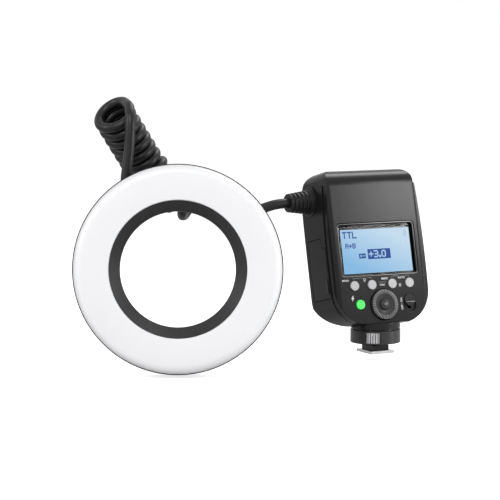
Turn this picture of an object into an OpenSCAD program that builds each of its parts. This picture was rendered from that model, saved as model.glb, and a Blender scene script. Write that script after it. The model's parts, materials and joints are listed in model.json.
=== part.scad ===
// Macro ring flash: a ring head for the front of a lens, a control unit for the
// camera's accessory shoe, and the curly cord between them. Millimetres, +Z up.
// The origin is the centre of the shoe foot's underside, and the panel faces -Y.

/* [Ring head] */
// Outer diameter of the ring head
ring_d = 140; // [125:1:160]
// Depth of the ring head, front to back
ring_depth = 26; // [24:0.5:32]
// Diameter of the clear opening through the ring
opening_d = 77; // [66:0.5:78]
// Diameter of the bezel cone at the front
bezel_d = 91.2; // [88:0.2:94]
// How far back the bezel cone runs
cone_depth = 10; // [8:0.5:12]
// Set-back of the bezel's front edge behind the diffuser
bezel_set_back = 0.8; // [0.4:0.1:2]
// Depth of the diffuser's rim
diffuser_h = 7; // [6.5:0.5:8]
// Wall of the diffuser
diffuser_wall = 1.8; // [1.2:0.1:2.4]
// Rounding of the diffuser's outer edge
diffuser_round = 6; // [3:0.5:6.4]
// How far the back cover shows round the diffuser
rim_show = 0.7; // [0.3:0.1:1.5]
// Wall of the back cover
ring_wall = 2; // [1.6:0.1:2.6]
// Rounding of the back cover's rear edge
cover_round = 4; // [2:0.5:6]

/* [Lens adapter seat] */
// Diameter of the seat that the lens adapter plugs into
seat_d = 82; // [80:0.5:84]
// Depth of the seat
seat_depth = 5; // [4.5:0.5:6]
// Wall of the mount collar round the seat
collar_wall = 5; // [4:0.5:6]
// Thickness of the collar's shoulder in front of the jaws
collar_shoulder = 2; // [1.5:0.5:3]
// How far each jaw reaches into the seat
jaw_reach = 1; // [0.6:0.1:1.5]
// Outward travel of a release slide
release_travel = 2.5; // [2:0.1:3]
// Width of a release slide's thumb plate
thumb_w = 16; // [12:1:20]
// Length of a release slide's thumb plate
thumb_l = 15; // [12:1:16]

/* [Lamps] */
// Diameter of the flash tube glass
flash_tube_d = 5; // [4:0.5:6]
// Angle left open between the two half-ring flash tubes
flash_gap_angle = 24; // [16:1:40]
// Wall of the reflector trough
reflector_wall = 1.5; // [1:0.1:2]
// Thickness of the circuit boards
board_t = 1.6; // [1:0.1:2]

/* [Ring placement] */
// Ring centre to the right of the shoe
ring_x = -156.7; // [-200:0.1:-140]
// Ring centre behind the shoe
ring_y = -7.4; // [-30:0.1:30]
// Ring centre above the foot's underside
ring_z = 66.9; // [60:0.1:100]
// Turn of the ring head about the vertical
ring_yaw = 26; // [20:0.5:32]
// Backward tilt of the ring head
ring_tilt = 6.4; // [2:0.1:10]

/* [Control unit] */
// Greatest width of the control unit
unit_w = 76; // [72:0.5:82]
// Depth of the control unit, square to its panel
unit_depth = 37; // [36:0.5:44]
// Height of the crown above the dial's centre, along the panel
crown_h = 96; // [92:0.5:104]
// Backward lean of the panel
lean = 12.9; // [8:0.1:16]
// Height of the dial's centre above the foot's underside
dial_z = 34.6; // [33:0.1:38]
// Distance of the dial's centre in front of the shoe's axis
dial_front = 11.5; // [9:0.1:13]
// Distance of the unit's base below the dial's centre, along the panel
base_drop = 12.6; // [12:0.1:13]
// Wall of the housing
unit_wall = 2; // [1.6:0.1:2.6]
// Radius of the barrelled sides
barrel_r = 650; // [500:10:900]
// Height of the widest place above the dial's centre
widest_v = 32; // [20:1:44]
// Radius of the two bottom corners
corner_r = 24; // [18:0.5:26]
// Radius of the two corners of the crown
top_corner_r = 8; // [6:0.5:10]
// Radius of the panel's side edges
edge_r = 4.5; // [3:0.5:6]
// Radius of the roundover from panel to crown
crown_front_r = 12; // [8:0.5:14]
// Radius of the roundover from crown to back
crown_back_r = 14; // [12:0.1:18]
// Radius of the roundover from base to back
base_back_r = 22; // [20:0.5:24]
// Depth of the parting line behind the panel
parting_w = 6.6; // [5:0.1:7]
// Height of the parting line under the crown
crown_v = 85.5; // [82:0.5:86]
// How far the panel's and crown's sides are drawn in
panel_step = 0.8; // [0.5:0.1:2]
// How far the rear case swells past the panel on the right
right_swell = 4; // [1:0.1:5]

/* [Panel controls] */
// Width of the panel beside the display
lcd_side = 6; // [5:0.5:9]
// Height of the display opening
lcd_h = 38; // [30:0.5:38]
// Height of the display's centre above the dial's centre
lcd_v = 38.8; // [38.5:0.1:40]
// Corner radius of the display opening
lcd_corner_r = 3; // [1:0.5:5]
// Thickness of the display window
window_t = 1.2; // [0.8:0.1:1.4]
// Diameter of the round buttons
button_d = 6.6; // [5:0.1:7]
// Height of the function buttons above the dial's centre
button_v = 14.2; // [14:0.1:15]
// Half the distance between the two middle function buttons
button_x1 = 8.2; // [7:0.1:9]
// Half the distance between the two outer function buttons
button_x2 = 22.2; // [20:0.1:25]
// How far the buttons stand out of the panel
button_proud = 1; // [0.8:0.1:1.5]
// Test button to the left of the dial's centre
test_x = 19; // [17:0.5:22]
// Test button above the dial's centre
test_v = 1; // [0:0.5:2]
// Diameter of the dial
dial_d = 21.4; // [18:0.2:22]
// How far the dial stands out of the panel
dial_proud = 2; // [1:0.1:3]
// Diameter inside the dial's ridges
dial_ridge_d = 15; // [13:0.2:16]
// Number of ridges round the dial
dial_ridges = 48; // [24:1:60]
// Diameter of the button in the dial
set_d = 7.6; // [6:0.1:8]
// Power switch to the right of the dial's centre
switch_x = 21.1; // [19:0.1:23]
// Width of the power switch's slot
switch_w = 9.4; // [8:0.1:10]
// Height of the power switch's slot
switch_h = 13; // [12:0.1:14]
// Height of the power switch's knob
switch_knob_h = 8.4; // [5:0.1:8.8]

/* [Battery] */
// Width of the battery pack across the unit's depth
battery_w = 18; // [15:0.5:18]
// Height of the battery pack along the panel
battery_h = 42; // [38:0.5:42]
// Length of the battery pack
battery_l = 50; // [40:1:52]
// Height of the pack's middle above the dial's centre
battery_v = 28.3; // [28:0.1:29]
// Depth of the pack's middle behind the panel
battery_depth = 21.2; // [21:0.1:22]
// Width of the tab in front of the pack that holds the latch
latch_tab_w = 4.6; // [4:0.1:4.6]
// How far the latch tab stops short of the pack's top
latch_tab_drop = 7; // [4:0.5:10]
// Height of the latch
latch_h = 9.8; // [6:0.1:12]
// Inward travel of the latch
latch_travel = 0.8; // [0.5:0.1:1]

/* [Shoe] */
// Width of the shoe foot
foot_w = 18.6; // [18.4:0.1:18.7]
// Length of the shoe foot
foot_l = 20; // [18:0.5:20]
// Thickness of the shoe foot
foot_t = 2; // [1.8:0.1:2]
// Width of the neck above the foot
neck_w = 12.4; // [11:0.1:12.4]
// Length of the neck above the foot
neck_l = 16; // [14:0.5:17]
// Height of the underside of the lock collar's cone
cone_z = 5.5; // [4.5:0.1:5.6]
// Height of the lock collar's underside
lock_z = 7.3; // [7:0.1:8]
// Height of the lock collar
lock_h = 9.2; // [7:0.1:9.4]
// Diameter of the lock collar
lock_d = 35; // [30:0.5:38]
// Height of the drawn-in lip on top of the lock collar
lock_lip_h = 0.7; // [0.3:0.1:0.7]
// Diameter of the drawn-in lip
lock_lip_d = 30; // [26:0.5:34]
// Diameter of the spindle that the lock collar turns on
spindle_d = 18; // [16:0.5:20]
// Diameter of the neck band under the unit
band_d = 34.6; // [30:0.2:36]
// Direction of the lock pad, from the front towards the left
pad_angle = 36.5; // [20:0.5:50]
// Angle that the lock pad spans
pad_span = 28; // [20:1:36]
// How far the lock pad stands out of the collar
pad_proud = 0.6; // [0.3:0.1:1]
// Height of the lock pad
pad_h = 7.2; // [5:0.1:8]
// Diameter of the lock pin
pin_d = 2.4; // [2:0.1:3]
// Distance of the lock pin in front of the shoe's axis
pin_front = 6; // [5.8:0.1:6]
// Diameter of the contacts
contact_d = 2; // [1.6:0.1:2.4]
// Pitch of the contacts
contact_pitch = 5; // [4.8:0.1:5]
// How far the contacts stand out of the foot
contact_proud = 0.4; // [0.2:0.1:0.6]

/* [Cord] */
// Diameter of the cord
cord_d = 7; // [4:0.1:7]
// Mean radius of the curls
curl_r = 11.2; // [10:0.1:11.5]
// Pitch of the curls along the straight stretch
curl_pitch = 7.5; // [7.5:0.1:8.5]
// Pitch of the curls round the bend
bend_pitch = 10; // [10:0.1:11]
// Length of the strain relief on the control unit
relief_l = 17.9; // [14:0.1:22]
// Diameter of the relief at its base
relief_base_d = 17.8; // [15:0.1:18]
// Diameter of the relief at its tip
relief_tip_d = 12.9; // [10:0.1:14]
// Number of ribs on the relief
relief_ribs = 6; // [4:1:8]
// Height of the relief's axis above the dial's centre
relief_v = 76.8; // [75:0.1:78]
// Depth of the relief's axis behind the panel
relief_w = 24.4; // [22:0.1:25]
// Length of the boot on the ring head
boot_l = 12; // [10:0.5:12]

/* [Hidden] */
$fn = 64;

// Clearances: a running fit, a sliding button, and two bodies that never touch
fit = 0.05;
slip = 0.1;
gap = 0.3;
// How far a cutter runs past what it cuts
cut = 1;

// Ring head radii, and heights along its axis with the front at zero
ring_r = ring_d / 2;
bore_r = opening_d / 2;
bezel_r = bezel_d / 2;
bezel_wall = 2.2;
bezel_flange = 4.4;
bezel_flange_t = 1.5;
diffuser_r = ring_r - rim_show;
cover_in_r = diffuser_r - diffuser_wall;
seat_r = seat_d / 2;
collar_r = seat_r + collar_wall;
collar_lip_r = bore_r + 0.5;
back_z = -ring_depth;
plate_z = back_z + ring_wall;
board_z = plate_z + board_t;
seat_z = back_z + seat_depth;
reflector_top_z = -diffuser_h - 2;
reflector_floor_z = board_z + reflector_wall;

// Release slides: a jaw in the seat, a web through the back, a thumb plate outside
jaw_w = 10;
jaw_t = 2.4;
jaw_z = seat_z + gap;
jaw_groove = 1;
groove_z = jaw_z + jaw_t + gap;
collar_z = groove_z + collar_shoulder;
web_t = 2;
web_x = collar_r + gap;
thumb_t = 3;
thumb_x = seat_r + 3;
thumb_z = back_z - gap - thumb_t;
thumb_ridges = 4;
thumb_ridge_w = 1.2;
thumb_ridge_h = 1;
board_in_r = norm([web_x + web_t + release_travel, jaw_w / 2]) + gap;
board_out_r = cover_in_r - 0.5;
flash_r = (board_in_r + board_out_r) / 2;
lamp_d = 3;
lamp_h = 3.4;
lamp_angle = 5;

// Screws of the ring head, heads flush with the back
ring_screw_angles = [28, 152, 208, 332];
screw_d = 2;
screw_head_d = 4.4;
screw_head_h = 1;
screw_slot_w = 0.7;
screw_slot_t = 0.5;
ring_screw_end_z = reflector_floor_z - 0.5;

// Cord terminal on the ring's back, with a boot that points up
terminal_x = -35;
terminal_w = 15;
terminal_y = 32;
terminal_l = 14;
terminal_h = 12;
terminal_round = 3;
boot_z = back_z - 5.4;
boot_base_d = 10.4;
boot_tip_d = 8.4;
boot_ribs = 4;
relief_flange_d = 21;
relief_flange_t = 1.5;
relief_seat = 2;
relief_boss_h = 1.6;
rib_share = 0.6;
rib_depth = 1;

// Control unit
half_w = unit_w / 2;
lcd_w = unit_w - 2 * (panel_step + lcd_side);
base_v = -base_drop;
base_lap = 0.5;
base_front_z = dial_z - base_drop * cos(lean);
far = 200;
window_lap = 1.2;
lcd_module_t = 4;
lcd_margin = 2;
window_w = unit_wall + window_t;
board_w = window_w + lcd_module_t;
board_low_v = 6.2;
board_high_v = 80;
button_cap_r = button_d / 2;
button_flange = 0.7;
button_flange_t = 0.8;
button_stem_w = unit_wall + gap + button_flange_t;
dial_recess = 0.8;
dial_hub_d = 11;
dial_hub_w = 4;
dial_ridge_depth = 0.6;
set_dome_r = 6;
set_flange_t = 1;
switch_proud = 0.6;
switch_pocket = 1.4;
switch_stem_l = 3;
switch_catch_t = 1;
switch_clear = 0.2;
switch_travel = switch_h - switch_knob_h - 2 * switch_clear;
capacitor_d = 22;
capacitor_l = 42;
capacitor_v = 66;

// Housing screws: posts behind the panel meet bosses in the main shell
post_r = 3;
screw_sink = 2.7;
post_inset = 3.5;
post_x = half_w - panel_step - unit_wall - post_r - post_inset;
post_low_v = 1.6;
post_high_v = lcd_v + lcd_h / 2 + window_lap + post_r + 1;
post_w = 20;
post_bore_l = 6;
board_half_x = post_x - post_r - gap;

// Battery pack, bay and latch
bay_wall = 1.2;
bay_clear = 2;
bay_start = panel_step + unit_wall + bay_clear;
bay_end = battery_l + gap;
cap_t = unit_wall;
latch_edge = 0.7;
latch_low = 3.4;
latch_proud = 0.3;

// Shoe
spindle_top_z = lock_z + lock_h + lock_lip_h + gap;
cone_top_d = spindle_d + 8;
pad_t = 2;
pad_grooves = 5;
pad_groove_w = 0.5;
pad_groove_depth = 0.4;
pad_rib_w = 0.8;
pad_rib_angle = 5;
pad_clear_angle = 0.4;
pin_top_z = 14;
pin_rest_z = 0.4;
contact_top_z = 1.4;
block_w = 8;
block_l = 13;
block_back = 2.4;
contact_places = [[0, 0], [-0.5, 0.8], [0.5, 0.8], [-0.5, -0.8], [0.5, -0.8]];

// Small vector helpers
function unit(v) = v / norm(v);
function dot_list(a, b) = [for (k = b) a * k];

// The ring head's own axes: right, up and out of the front
ring_pos = [ring_x, ring_y, ring_z];
ring_right = [cos(ring_yaw), -sin(ring_yaw), 0];
ring_up = [sin(ring_tilt) * sin(ring_yaw), sin(ring_tilt) * cos(ring_yaw), cos(ring_tilt)];
ring_out = cross(ring_right, ring_up);
function to_ring(p) = dot_list(p - ring_pos, [ring_right, ring_up, ring_out]);
function panel_point(p) = [
    p.x,
    p.y * sin(lean) - p.z * cos(lean) - dial_front,
    p.y * cos(lean) + p.z * sin(lean) + dial_z
];

// The curls' axis in the ring head's axes: a straight stretch, then a bend
coil_top = [-44.5, 107, -45.5];
coil_bend = [-26.5, 78, -69.5];
coil_end = [8, 47.5, -76];
curl_start_angle = -60;
rings_per_curl = 8;
curl_sides = 6;
run_sides = 8;
unwind_l = 18;
unwind_r = 4;
unwind_rings = 10;
coil_dir = unit(coil_bend - coil_top);
chord_dir = unit(coil_end - coil_bend);
half_turn = acos(coil_dir * chord_dir);
bend_r = norm(coil_end - coil_bend) / (2 * sin(half_turn));
straight_l = norm(coil_bend - coil_top);
bend_l = bend_r * 2 * half_turn * PI / 180;
coil_l = straight_l + bend_l;
coil_in = unit(chord_dir - (coil_dir * chord_dir) * coil_dir);
coil_side = cross(coil_dir, coil_in);
straight_turns = straight_l / curl_pitch;
coil_turns = straight_turns + bend_l / bend_pitch;

// Place, direction and inward normal of the axis at a length along it
function axis_turn(s) = min(max(s - straight_l, 0), bend_l) / bend_r * 180 / PI;
function axis_dir(s) = cos(axis_turn(s)) * coil_dir + sin(axis_turn(s)) * coil_in;
function axis_in(s) = cos(axis_turn(s)) * coil_in - sin(axis_turn(s)) * coil_dir;
function axis_point(s) = coil_top
    + min(s, straight_l) * coil_dir
    + bend_r * (sin(axis_turn(s)) * coil_dir + (1 - cos(axis_turn(s))) * coil_in)
    + max(s - coil_l, 0) * axis_dir(s);
function curl_out(s, angle) = cos(angle) * axis_in(s) + sin(angle) * coil_side;

// A curl's place after a number of turns, and the last turn that opens out
function turn_s(t) = t < straight_turns
    ? t * curl_pitch
    : straight_l + (t - straight_turns) * bend_pitch;
function turn_angle(t) = curl_start_angle - 360 * t;
function ease(u) = u * u * (3 - 2 * u);
function unwind_angle(u) = turn_angle(coil_turns)
    - 360 * unwind_l / bend_pitch * (1 - (1 - u) * (1 - u) * (1 - u)) / 3;
function unwind_radius(u) = curl_r + (unwind_r - curl_r) * ease(u);
function curl_at(t) = axis_point(turn_s(t)) + curl_r * curl_out(turn_s(t), turn_angle(t));
function unwind_at(u) = axis_point(coil_l + u * unwind_l)
    + unwind_radius(u) * curl_out(coil_l, unwind_angle(u));

// Points of the curls with a straight lead of one diameter at each end
small_turn = 0.01;
curl_first_dir = unit(curl_at(small_turn) - curl_at(0));
curl_last_dir = axis_dir(coil_l);
whole_rings = floor(coil_turns * rings_per_curl);
curl_lead = curl_at(0) - cord_d * curl_first_dir;
curl_exit = unwind_at(1) + cord_d * curl_last_dir;
curl_points = concat(
    [curl_lead],
    [for (k = [0:whole_rings]) curl_at(k / rings_per_curl)],
    [for (k = [1:unwind_rings]) unwind_at(k / unwind_rings)],
    [curl_exit]
);
curl_outs = concat(
    [curl_out(0, turn_angle(0))],
    [for (k = [0:whole_rings]) curl_out(turn_s(k / rings_per_curl), turn_angle(k / rings_per_curl))],
    [for (k = [1:unwind_rings]) curl_out(coil_l, unwind_angle(k / unwind_rings))],
    [curl_out(coil_l, unwind_angle(1))]
);
curl_gap = min([
    for (i = [0:len(curl_points) - 1], j = [i + 5:1:len(curl_points) - 1])
        norm(curl_points[i] - curl_points[j]) - cord_d
]);
echo(least_gap_of_the_curls = curl_gap);

// The free stretches, in the ring head's axes
relief_x = half_w - relief_seat;
relief_tip = to_ring(panel_point([-relief_x - relief_l, relief_v, -relief_w]));
relief_dir = dot_list([-1, 0, 0], [ring_right, ring_up, ring_out]);
boot_tip = [terminal_x, terminal_y + terminal_l + boot_l, boot_z];
ring_run_points = concat(
    [curl_lead],
    [[-32.1, 107.2, -35.8], [-31.8, 103.9, -33.3], [-31.7, 99.8, -31.9]],
    [[-31.8, 94, -31.4], [-32.4, 82, -31.4], [-34, 69, -31.4]],
    [boot_tip]
);
unit_run_points = concat(
    [curl_exit],
    [[39.2, 37.4, -66], [48.5, 38, -65.7], [57.6, 41.4, -66.8], [66.6, 44.3, -69.3]],
    [relief_tip]
);

// Directions along a list of points, with the two end directions given
function path_dirs(points, first, last) = concat(
    [first],
    [for (i = [1:1:len(points) - 2]) unit(points[i + 1] - points[i - 1])],
    [last]
);

// Corners of the sweep's rings, each ring square to its direction
function sweep_corners(points, dirs, outs, r, sides) = [
    for (i = [0:len(points) - 1])
        let (n = unit(outs[i] - (outs[i] * dirs[i]) * dirs[i]), b = cross(dirs[i], n))
            for (k = [0:sides - 1])
                points[i] + r * (cos(360 * k / sides) * n + sin(360 * k / sides) * b)
];

// Triangles of a sweep: its sides, then its two end caps
function sweep_faces(rings, sides) = concat(
    [
        for (i = [0:rings - 2], k = [0:sides - 1])
            [i * sides + k, (i + 1) * sides + k, (i + 1) * sides + (k + 1) % sides]
    ],
    [
        for (i = [0:rings - 2], k = [0:sides - 1])
            [i * sides + k, (i + 1) * sides + (k + 1) % sides, i * sides + (k + 1) % sides]
    ],
    [for (k = [1:sides - 2]) [0, k, k + 1]],
    [for (k = [1:sides - 2]) [0, k + 1, k] + (rings - 1) * sides * [1, 1, 1]]
);

module sweep_tube(points, dirs, outs, r, sides) {
    polyhedron(
        points = sweep_corners(points, dirs, outs, r, sides),
        faces = sweep_faces(len(points), sides)
    );
}

// Places a child by the ring head's own axes
module in_ring() {
    translate(ring_pos) rotate([0, 0, -ring_yaw]) rotate([90 - ring_tilt, 0, 0]) children();
}

// Places a child by the panel: x right, y up the panel, z out of it, zero at the dial
module in_panel() {
    translate([0, -dial_front, dial_z]) rotate([90 - lean, 0, 0]) children();
}

// A rectangle with round corners, centred
module round_rect(w, h, r) {
    square([w - 2 * r, h], center = true);
    square([w, h - 2 * r], center = true);
    for (x = [-1, 1], y = [-1, 1]) translate([x * (w / 2 - r), y * (h / 2 - r)]) circle(r);
}

// Tapered boot with ribs, its flange at zero and its tip at l
module ribbed_boot(l, base_d, tip_d, ribs, flange_d, flange_t) {
    pitch = (l - flange_t) / (ribs - 1 + rib_share);
    function taper_r(z) = base_d / 2 + (tip_d - base_d) / 2 * z / l;
    function rib(z) = [[taper_r(z), z], [taper_r(z + pitch * rib_share), z + pitch * rib_share]];
    rotate_extrude() polygon(concat(
        [[0, 0], [flange_d / 2, 0], [flange_d / 2, flange_t]],
        [
            for (i = [0:ribs - 1])
                let (z = flange_t + i * pitch, g = z + pitch * rib_share, n = z + pitch)
                    each i < ribs - 1
                        ? concat(rib(z), [[taper_r(g) - rib_depth, g], [taper_r(n) - rib_depth, n]])
                        : rib(z)
        ],
        [[0, l]]
    ));
}

// Slotted pan screw: its head's outer face at zero, its shank towards +z
module slotted_screw(l) {
    difference() {
        union() {
            cylinder(d = screw_head_d, h = screw_head_h);
            cylinder(d = screw_d, h = l);
        }
        translate([-screw_head_d, -screw_slot_w / 2, -cut])
            cube([2 * screw_head_d, screw_slot_w, cut + screw_slot_t]);
    }
}

// A ring section with its outer corner rounded at the front or the back
module rounded_section(in_r, out_r, low_z, high_z, round_r, at_front) {
    centre_z = at_front ? high_z - round_r : low_z + round_r;
    straight_z = at_front ? low_z : centre_z;
    translate([in_r, low_z]) square([out_r - round_r - in_r, high_z - low_z]);
    translate([in_r, straight_z]) square([out_r - in_r, high_z - low_z - round_r]);
    intersection() {
        translate([out_r - round_r, centre_z]) circle(round_r);
        translate([out_r - round_r, at_front ? centre_z : low_z]) square(round_r);
    }
}

module ring_diffuser() {
    in_r = bezel_r + slip;
    color("white") in_ring() rotate_extrude() difference() {
        rounded_section(in_r, diffuser_r, -diffuser_h, 0, diffuser_round, true);
        rounded_section(
            in_r + diffuser_wall, cover_in_r, -diffuser_h - cut, -diffuser_wall,
            diffuser_round - diffuser_wall, true
        );
    }
}

module ring_bezel() {
    flange_z = -diffuser_h - bezel_flange_t;
    flange_r = bezel_r + bezel_flange;
    color([0.2, 0.2, 0.21]) in_ring() rotate_extrude() polygon([
        [bezel_r, -bezel_set_back],
        [bore_r, -cone_depth],
        [bore_r, collar_z],
        [bore_r + bezel_wall, collar_z],
        [bore_r + bezel_wall, flange_z],
        [flange_r, flange_z],
        [flange_r, -diffuser_h],
        [bezel_r, -diffuser_h]
    ]);
}

module ring_mount_collar() {
    slot_w = jaw_w + 2 * gap;
    color([0.12, 0.12, 0.13]) in_ring() difference() {
        rotate_extrude() polygon([
            [collar_lip_r, collar_z],
            [collar_r, collar_z],
            [collar_r, back_z],
            [seat_r, back_z],
            [seat_r, seat_z],
            [seat_r + jaw_groove, seat_z],
            [seat_r + jaw_groove, groove_z],
            [collar_lip_r, groove_z]
        ]);
        for (turn = [0, 180]) rotate([0, 0, turn]) translate([seat_r, -slot_w / 2, seat_z])
            cube([collar_wall + cut, slot_w, groove_z - seat_z]);
    }
}

module ring_back_cover() {
    slot_w = jaw_w + 2 * gap;
    slot_end = web_x + web_t + release_travel + gap;
    color([0.09, 0.09, 0.095]) in_ring() difference() {
        rotate_extrude() difference() {
            rounded_section(collar_r + fit, ring_r, back_z, -diffuser_h, cover_round, false);
            translate([collar_r, plate_z]) square([cover_in_r - collar_r, ring_depth]);
        }
        for (turn = [0, 180]) rotate([0, 0, turn]) translate([collar_r - cut, -slot_w / 2, back_z - cut])
            cube([slot_end - collar_r + cut, slot_w, ring_wall + 2 * cut]);
        at_ring_screws() screw_cut();
    }
}

// Places a child at each screw of the ring head
module at_ring_screws() {
    for (turn = ring_screw_angles) rotate([0, 0, turn]) translate([flash_r, 0, back_z]) children();
}

// Room for one ring screw: its head and its shank
module screw_cut() {
    translate([0, 0, -cut]) cylinder(d = screw_head_d + 2 * fit, h = cut + screw_head_h);
    cylinder(d = screw_d + 2 * fit, h = ring_screw_end_z - back_z + fit);
}

module ring_screws() {
    color("silver") in_ring() at_ring_screws() slotted_screw(ring_screw_end_z - back_z);
}

module ring_board() {
    color("darkgreen") in_ring() difference() {
        translate([0, 0, plate_z]) cylinder(r = board_out_r, h = board_t);
        translate([0, 0, plate_z - cut]) cylinder(r = board_in_r, h = board_t + 2 * cut);
        at_ring_screws() screw_cut();
    }
}

module ring_reflector() {
    color("gainsboro") in_ring() difference() {
        rotate_extrude() difference() {
            translate([board_in_r, board_z]) square([board_out_r - board_in_r, reflector_top_z - board_z]);
            translate([board_in_r + reflector_wall, reflector_floor_z])
                square([board_out_r - board_in_r - 2 * reflector_wall, ring_depth]);
        }
        at_ring_screws() screw_cut();
    }
}

module flash_tubes() {
    tube_z = reflector_floor_z + gap + flash_tube_d / 2;
    gap_x = ring_r * sin(flash_gap_angle / 2);
    gap_y = ring_r * cos(flash_gap_angle / 2);
    color([0.9, 0.95, 1]) in_ring() difference() {
        translate([0, 0, tube_z]) rotate_extrude() translate([flash_r, 0]) circle(d = flash_tube_d);
        for (turn = [0, 180]) rotate([0, 0, turn]) translate([0, 0, back_z]) linear_extrude(ring_depth)
            polygon([[0, 0], [gap_x, gap_y], [-gap_x, gap_y]]);
    }
}

module modelling_lamps() {
    color("lightyellow") in_ring() for (turn = [0, 180], side = [-1, 1])
        rotate([0, 0, turn + side * lamp_angle]) translate([0, flash_r, reflector_floor_z])
            cylinder(d = lamp_d, h = lamp_h);
}

// A release slide on the right; the left one is the same, half a turn round
module release_slide() {
    ridge_pitch = thumb_l / thumb_ridges;
    translate([seat_r - jaw_reach, -jaw_w / 2, jaw_z])
        cube([web_x + web_t - seat_r + jaw_reach, jaw_w, jaw_t]);
    translate([web_x, -jaw_w / 2, thumb_z]) cube([web_t, jaw_w, jaw_z + jaw_t - thumb_z]);
    translate([thumb_x, -thumb_w / 2, thumb_z]) cube([thumb_l, thumb_w, thumb_t]);
    for (i = [0:thumb_ridges - 1])
        translate([thumb_x + (i + 0.5) * ridge_pitch, 0, thumb_z - thumb_ridge_h])
            translate([-thumb_ridge_w / 2, -thumb_w / 2, 0])
            cube([thumb_ridge_w, thumb_w, thumb_ridge_h]);
}

module release_slide_left() {
    color([0.13, 0.13, 0.14]) in_ring() rotate([0, 0, 180]) release_slide();
}

module release_slide_right() {
    color([0.13, 0.13, 0.14]) in_ring() release_slide();
}

module ring_terminal() {
    color([0.09, 0.09, 0.095]) in_ring()
        translate([terminal_x, terminal_y + terminal_l / 2, back_z - terminal_h])
        linear_extrude(terminal_h) round_rect(terminal_w, terminal_l, terminal_round);
}

module ring_boot() {
    color([0.07, 0.07, 0.07]) in_ring() translate([terminal_x, terminal_y + terminal_l, boot_z])
        rotate([-90, 0, 0]) ribbed_boot(boot_l, boot_base_d, boot_tip_d, boot_ribs, boot_base_d, 1);
}

module cord_run_ring() {
    dirs = path_dirs(ring_run_points, -curl_first_dir, [0, -1, 0]);
    outs = [for (p = ring_run_points) [1, 0, 0]];
    color([0.06, 0.06, 0.06]) in_ring() sweep_tube(ring_run_points, dirs, outs, cord_d / 2, run_sides);
}

module cord_curls() {
    dirs = path_dirs(curl_points, curl_first_dir, curl_last_dir);
    color([0.06, 0.06, 0.06]) in_ring() sweep_tube(curl_points, dirs, curl_outs, cord_d / 2, curl_sides);
}

module cord_run_unit() {
    dirs = path_dirs(unit_run_points, curl_last_dir, -relief_dir);
    outs = [for (p = unit_run_points) [0, 1, 0]];
    color([0.06, 0.06, 0.06]) in_ring() sweep_tube(unit_run_points, dirs, outs, cord_d / 2, run_sides);
}

module cord_relief() {
    color([0.07, 0.07, 0.07]) in_panel() translate([-relief_x, relief_v, -relief_w]) rotate([0, -90, 0])
        ribbed_boot(relief_l, relief_base_d, relief_tip_d, relief_ribs, relief_flange_d, relief_flange_t);
}

// Half the barrelled width at a height above the dial's centre
function half_width(v) = half_w - (v - widest_v) * (v - widest_v) / (2 * barrel_r);

// The unit's outline from the front: barrelled sides, round corners below and above
module front_outline(side, end) {
    low_r = corner_r - side;
    low_end = base_v - base_lap + end;
    low_v = low_end + low_r;
    low_x = half_width(low_v) - side - low_r;
    top_r = top_corner_r - side;
    top_v = crown_h - end - top_r;
    top_x = half_width(top_v) - side - top_r;
    intersection() {
        translate([half_w - barrel_r, widest_v]) circle(barrel_r - side);
        translate([barrel_r - half_w, widest_v]) circle(barrel_r - side);
        translate([-half_w, low_v]) square([unit_w, top_v - low_v]);
    }
    for (x = [-low_x, low_x]) translate([x, low_v]) circle(low_r);
    for (x = [-top_x, top_x]) translate([x, top_v]) circle(top_r);
    translate([-low_x, low_end]) square([2 * low_x, 2 * low_r]);
    translate([-top_x, top_v - top_r]) square([2 * top_x, 2 * top_r]);
}

// The unit's outline from the side, x out of the panel and y up it
module side_profile(inset) {
    front_x = -crown_front_r;
    back_x = crown_back_r - unit_depth;
    base_x = base_back_r - unit_depth;
    base_y = base_v + base_back_r;
    front_y = crown_h - crown_front_r;
    back_y = crown_h - crown_back_r;
    translate([front_x, front_y]) circle(crown_front_r - inset);
    intersection() {
        translate([back_x, back_y]) circle(crown_back_r - inset);
        translate([-unit_depth, back_y]) square([crown_back_r, crown_back_r]);
    }
    intersection() {
        translate([base_x, base_y]) circle(base_back_r - inset);
        translate([-unit_depth, base_v]) square(base_back_r);
    }
    translate([inset - unit_depth, base_y]) square([unit_depth - 2 * inset, back_y - base_y]);
    translate([base_x, base_v + inset]) square([-base_x - inset, front_y - base_v - inset]);
    translate([back_x, base_y]) square([-back_x - inset, front_y - base_y]);
    translate([back_x, 0]) square([front_x - back_x, crown_h - inset]);
}

// The unit's section from above: the four long edges are rounded
module edge_section(inset, swell) {
    w = unit_w - 2 * inset + swell + 2 * slip;
    translate([swell / 2, -unit_depth / 2]) round_rect(w, unit_depth, edge_r);
}

// The unit's outer form, drawn in on both sides or swollen on the right
module unit_solid(inset, swell) {
    intersection() {
        in_panel() translate([0, 0, -unit_depth - cut]) linear_extrude(unit_depth + 2 * cut)
            for (x = swell == 0 ? [0] : [0, swell]) translate([x, 0]) front_outline(inset, 0);
        in_panel() rotate([0, -90, 0]) linear_extrude(2 * unit_w, center = true) side_profile(0);
        in_panel() rotate([90, 0, 0]) linear_extrude(2 * far, center = true) edge_section(inset, swell);
    }
}

module unit_hollow() {
    intersection() {
        in_panel() translate([0, 0, -unit_depth]) linear_extrude(unit_depth)
            front_outline(panel_step + unit_wall, unit_wall);
        in_panel() rotate([0, -90, 0]) linear_extrude(unit_w, center = true) side_profile(unit_wall);
    }
}

// What lies in front of the parting line, and what lies above it
module front_region() {
    in_panel() translate([-far, -far, -parting_w]) cube([2 * far, 2 * far, far]);
}

module crown_region() {
    in_panel() translate([-far, crown_v, -far]) cube([2 * far, far, 2 * far]);
}

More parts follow.
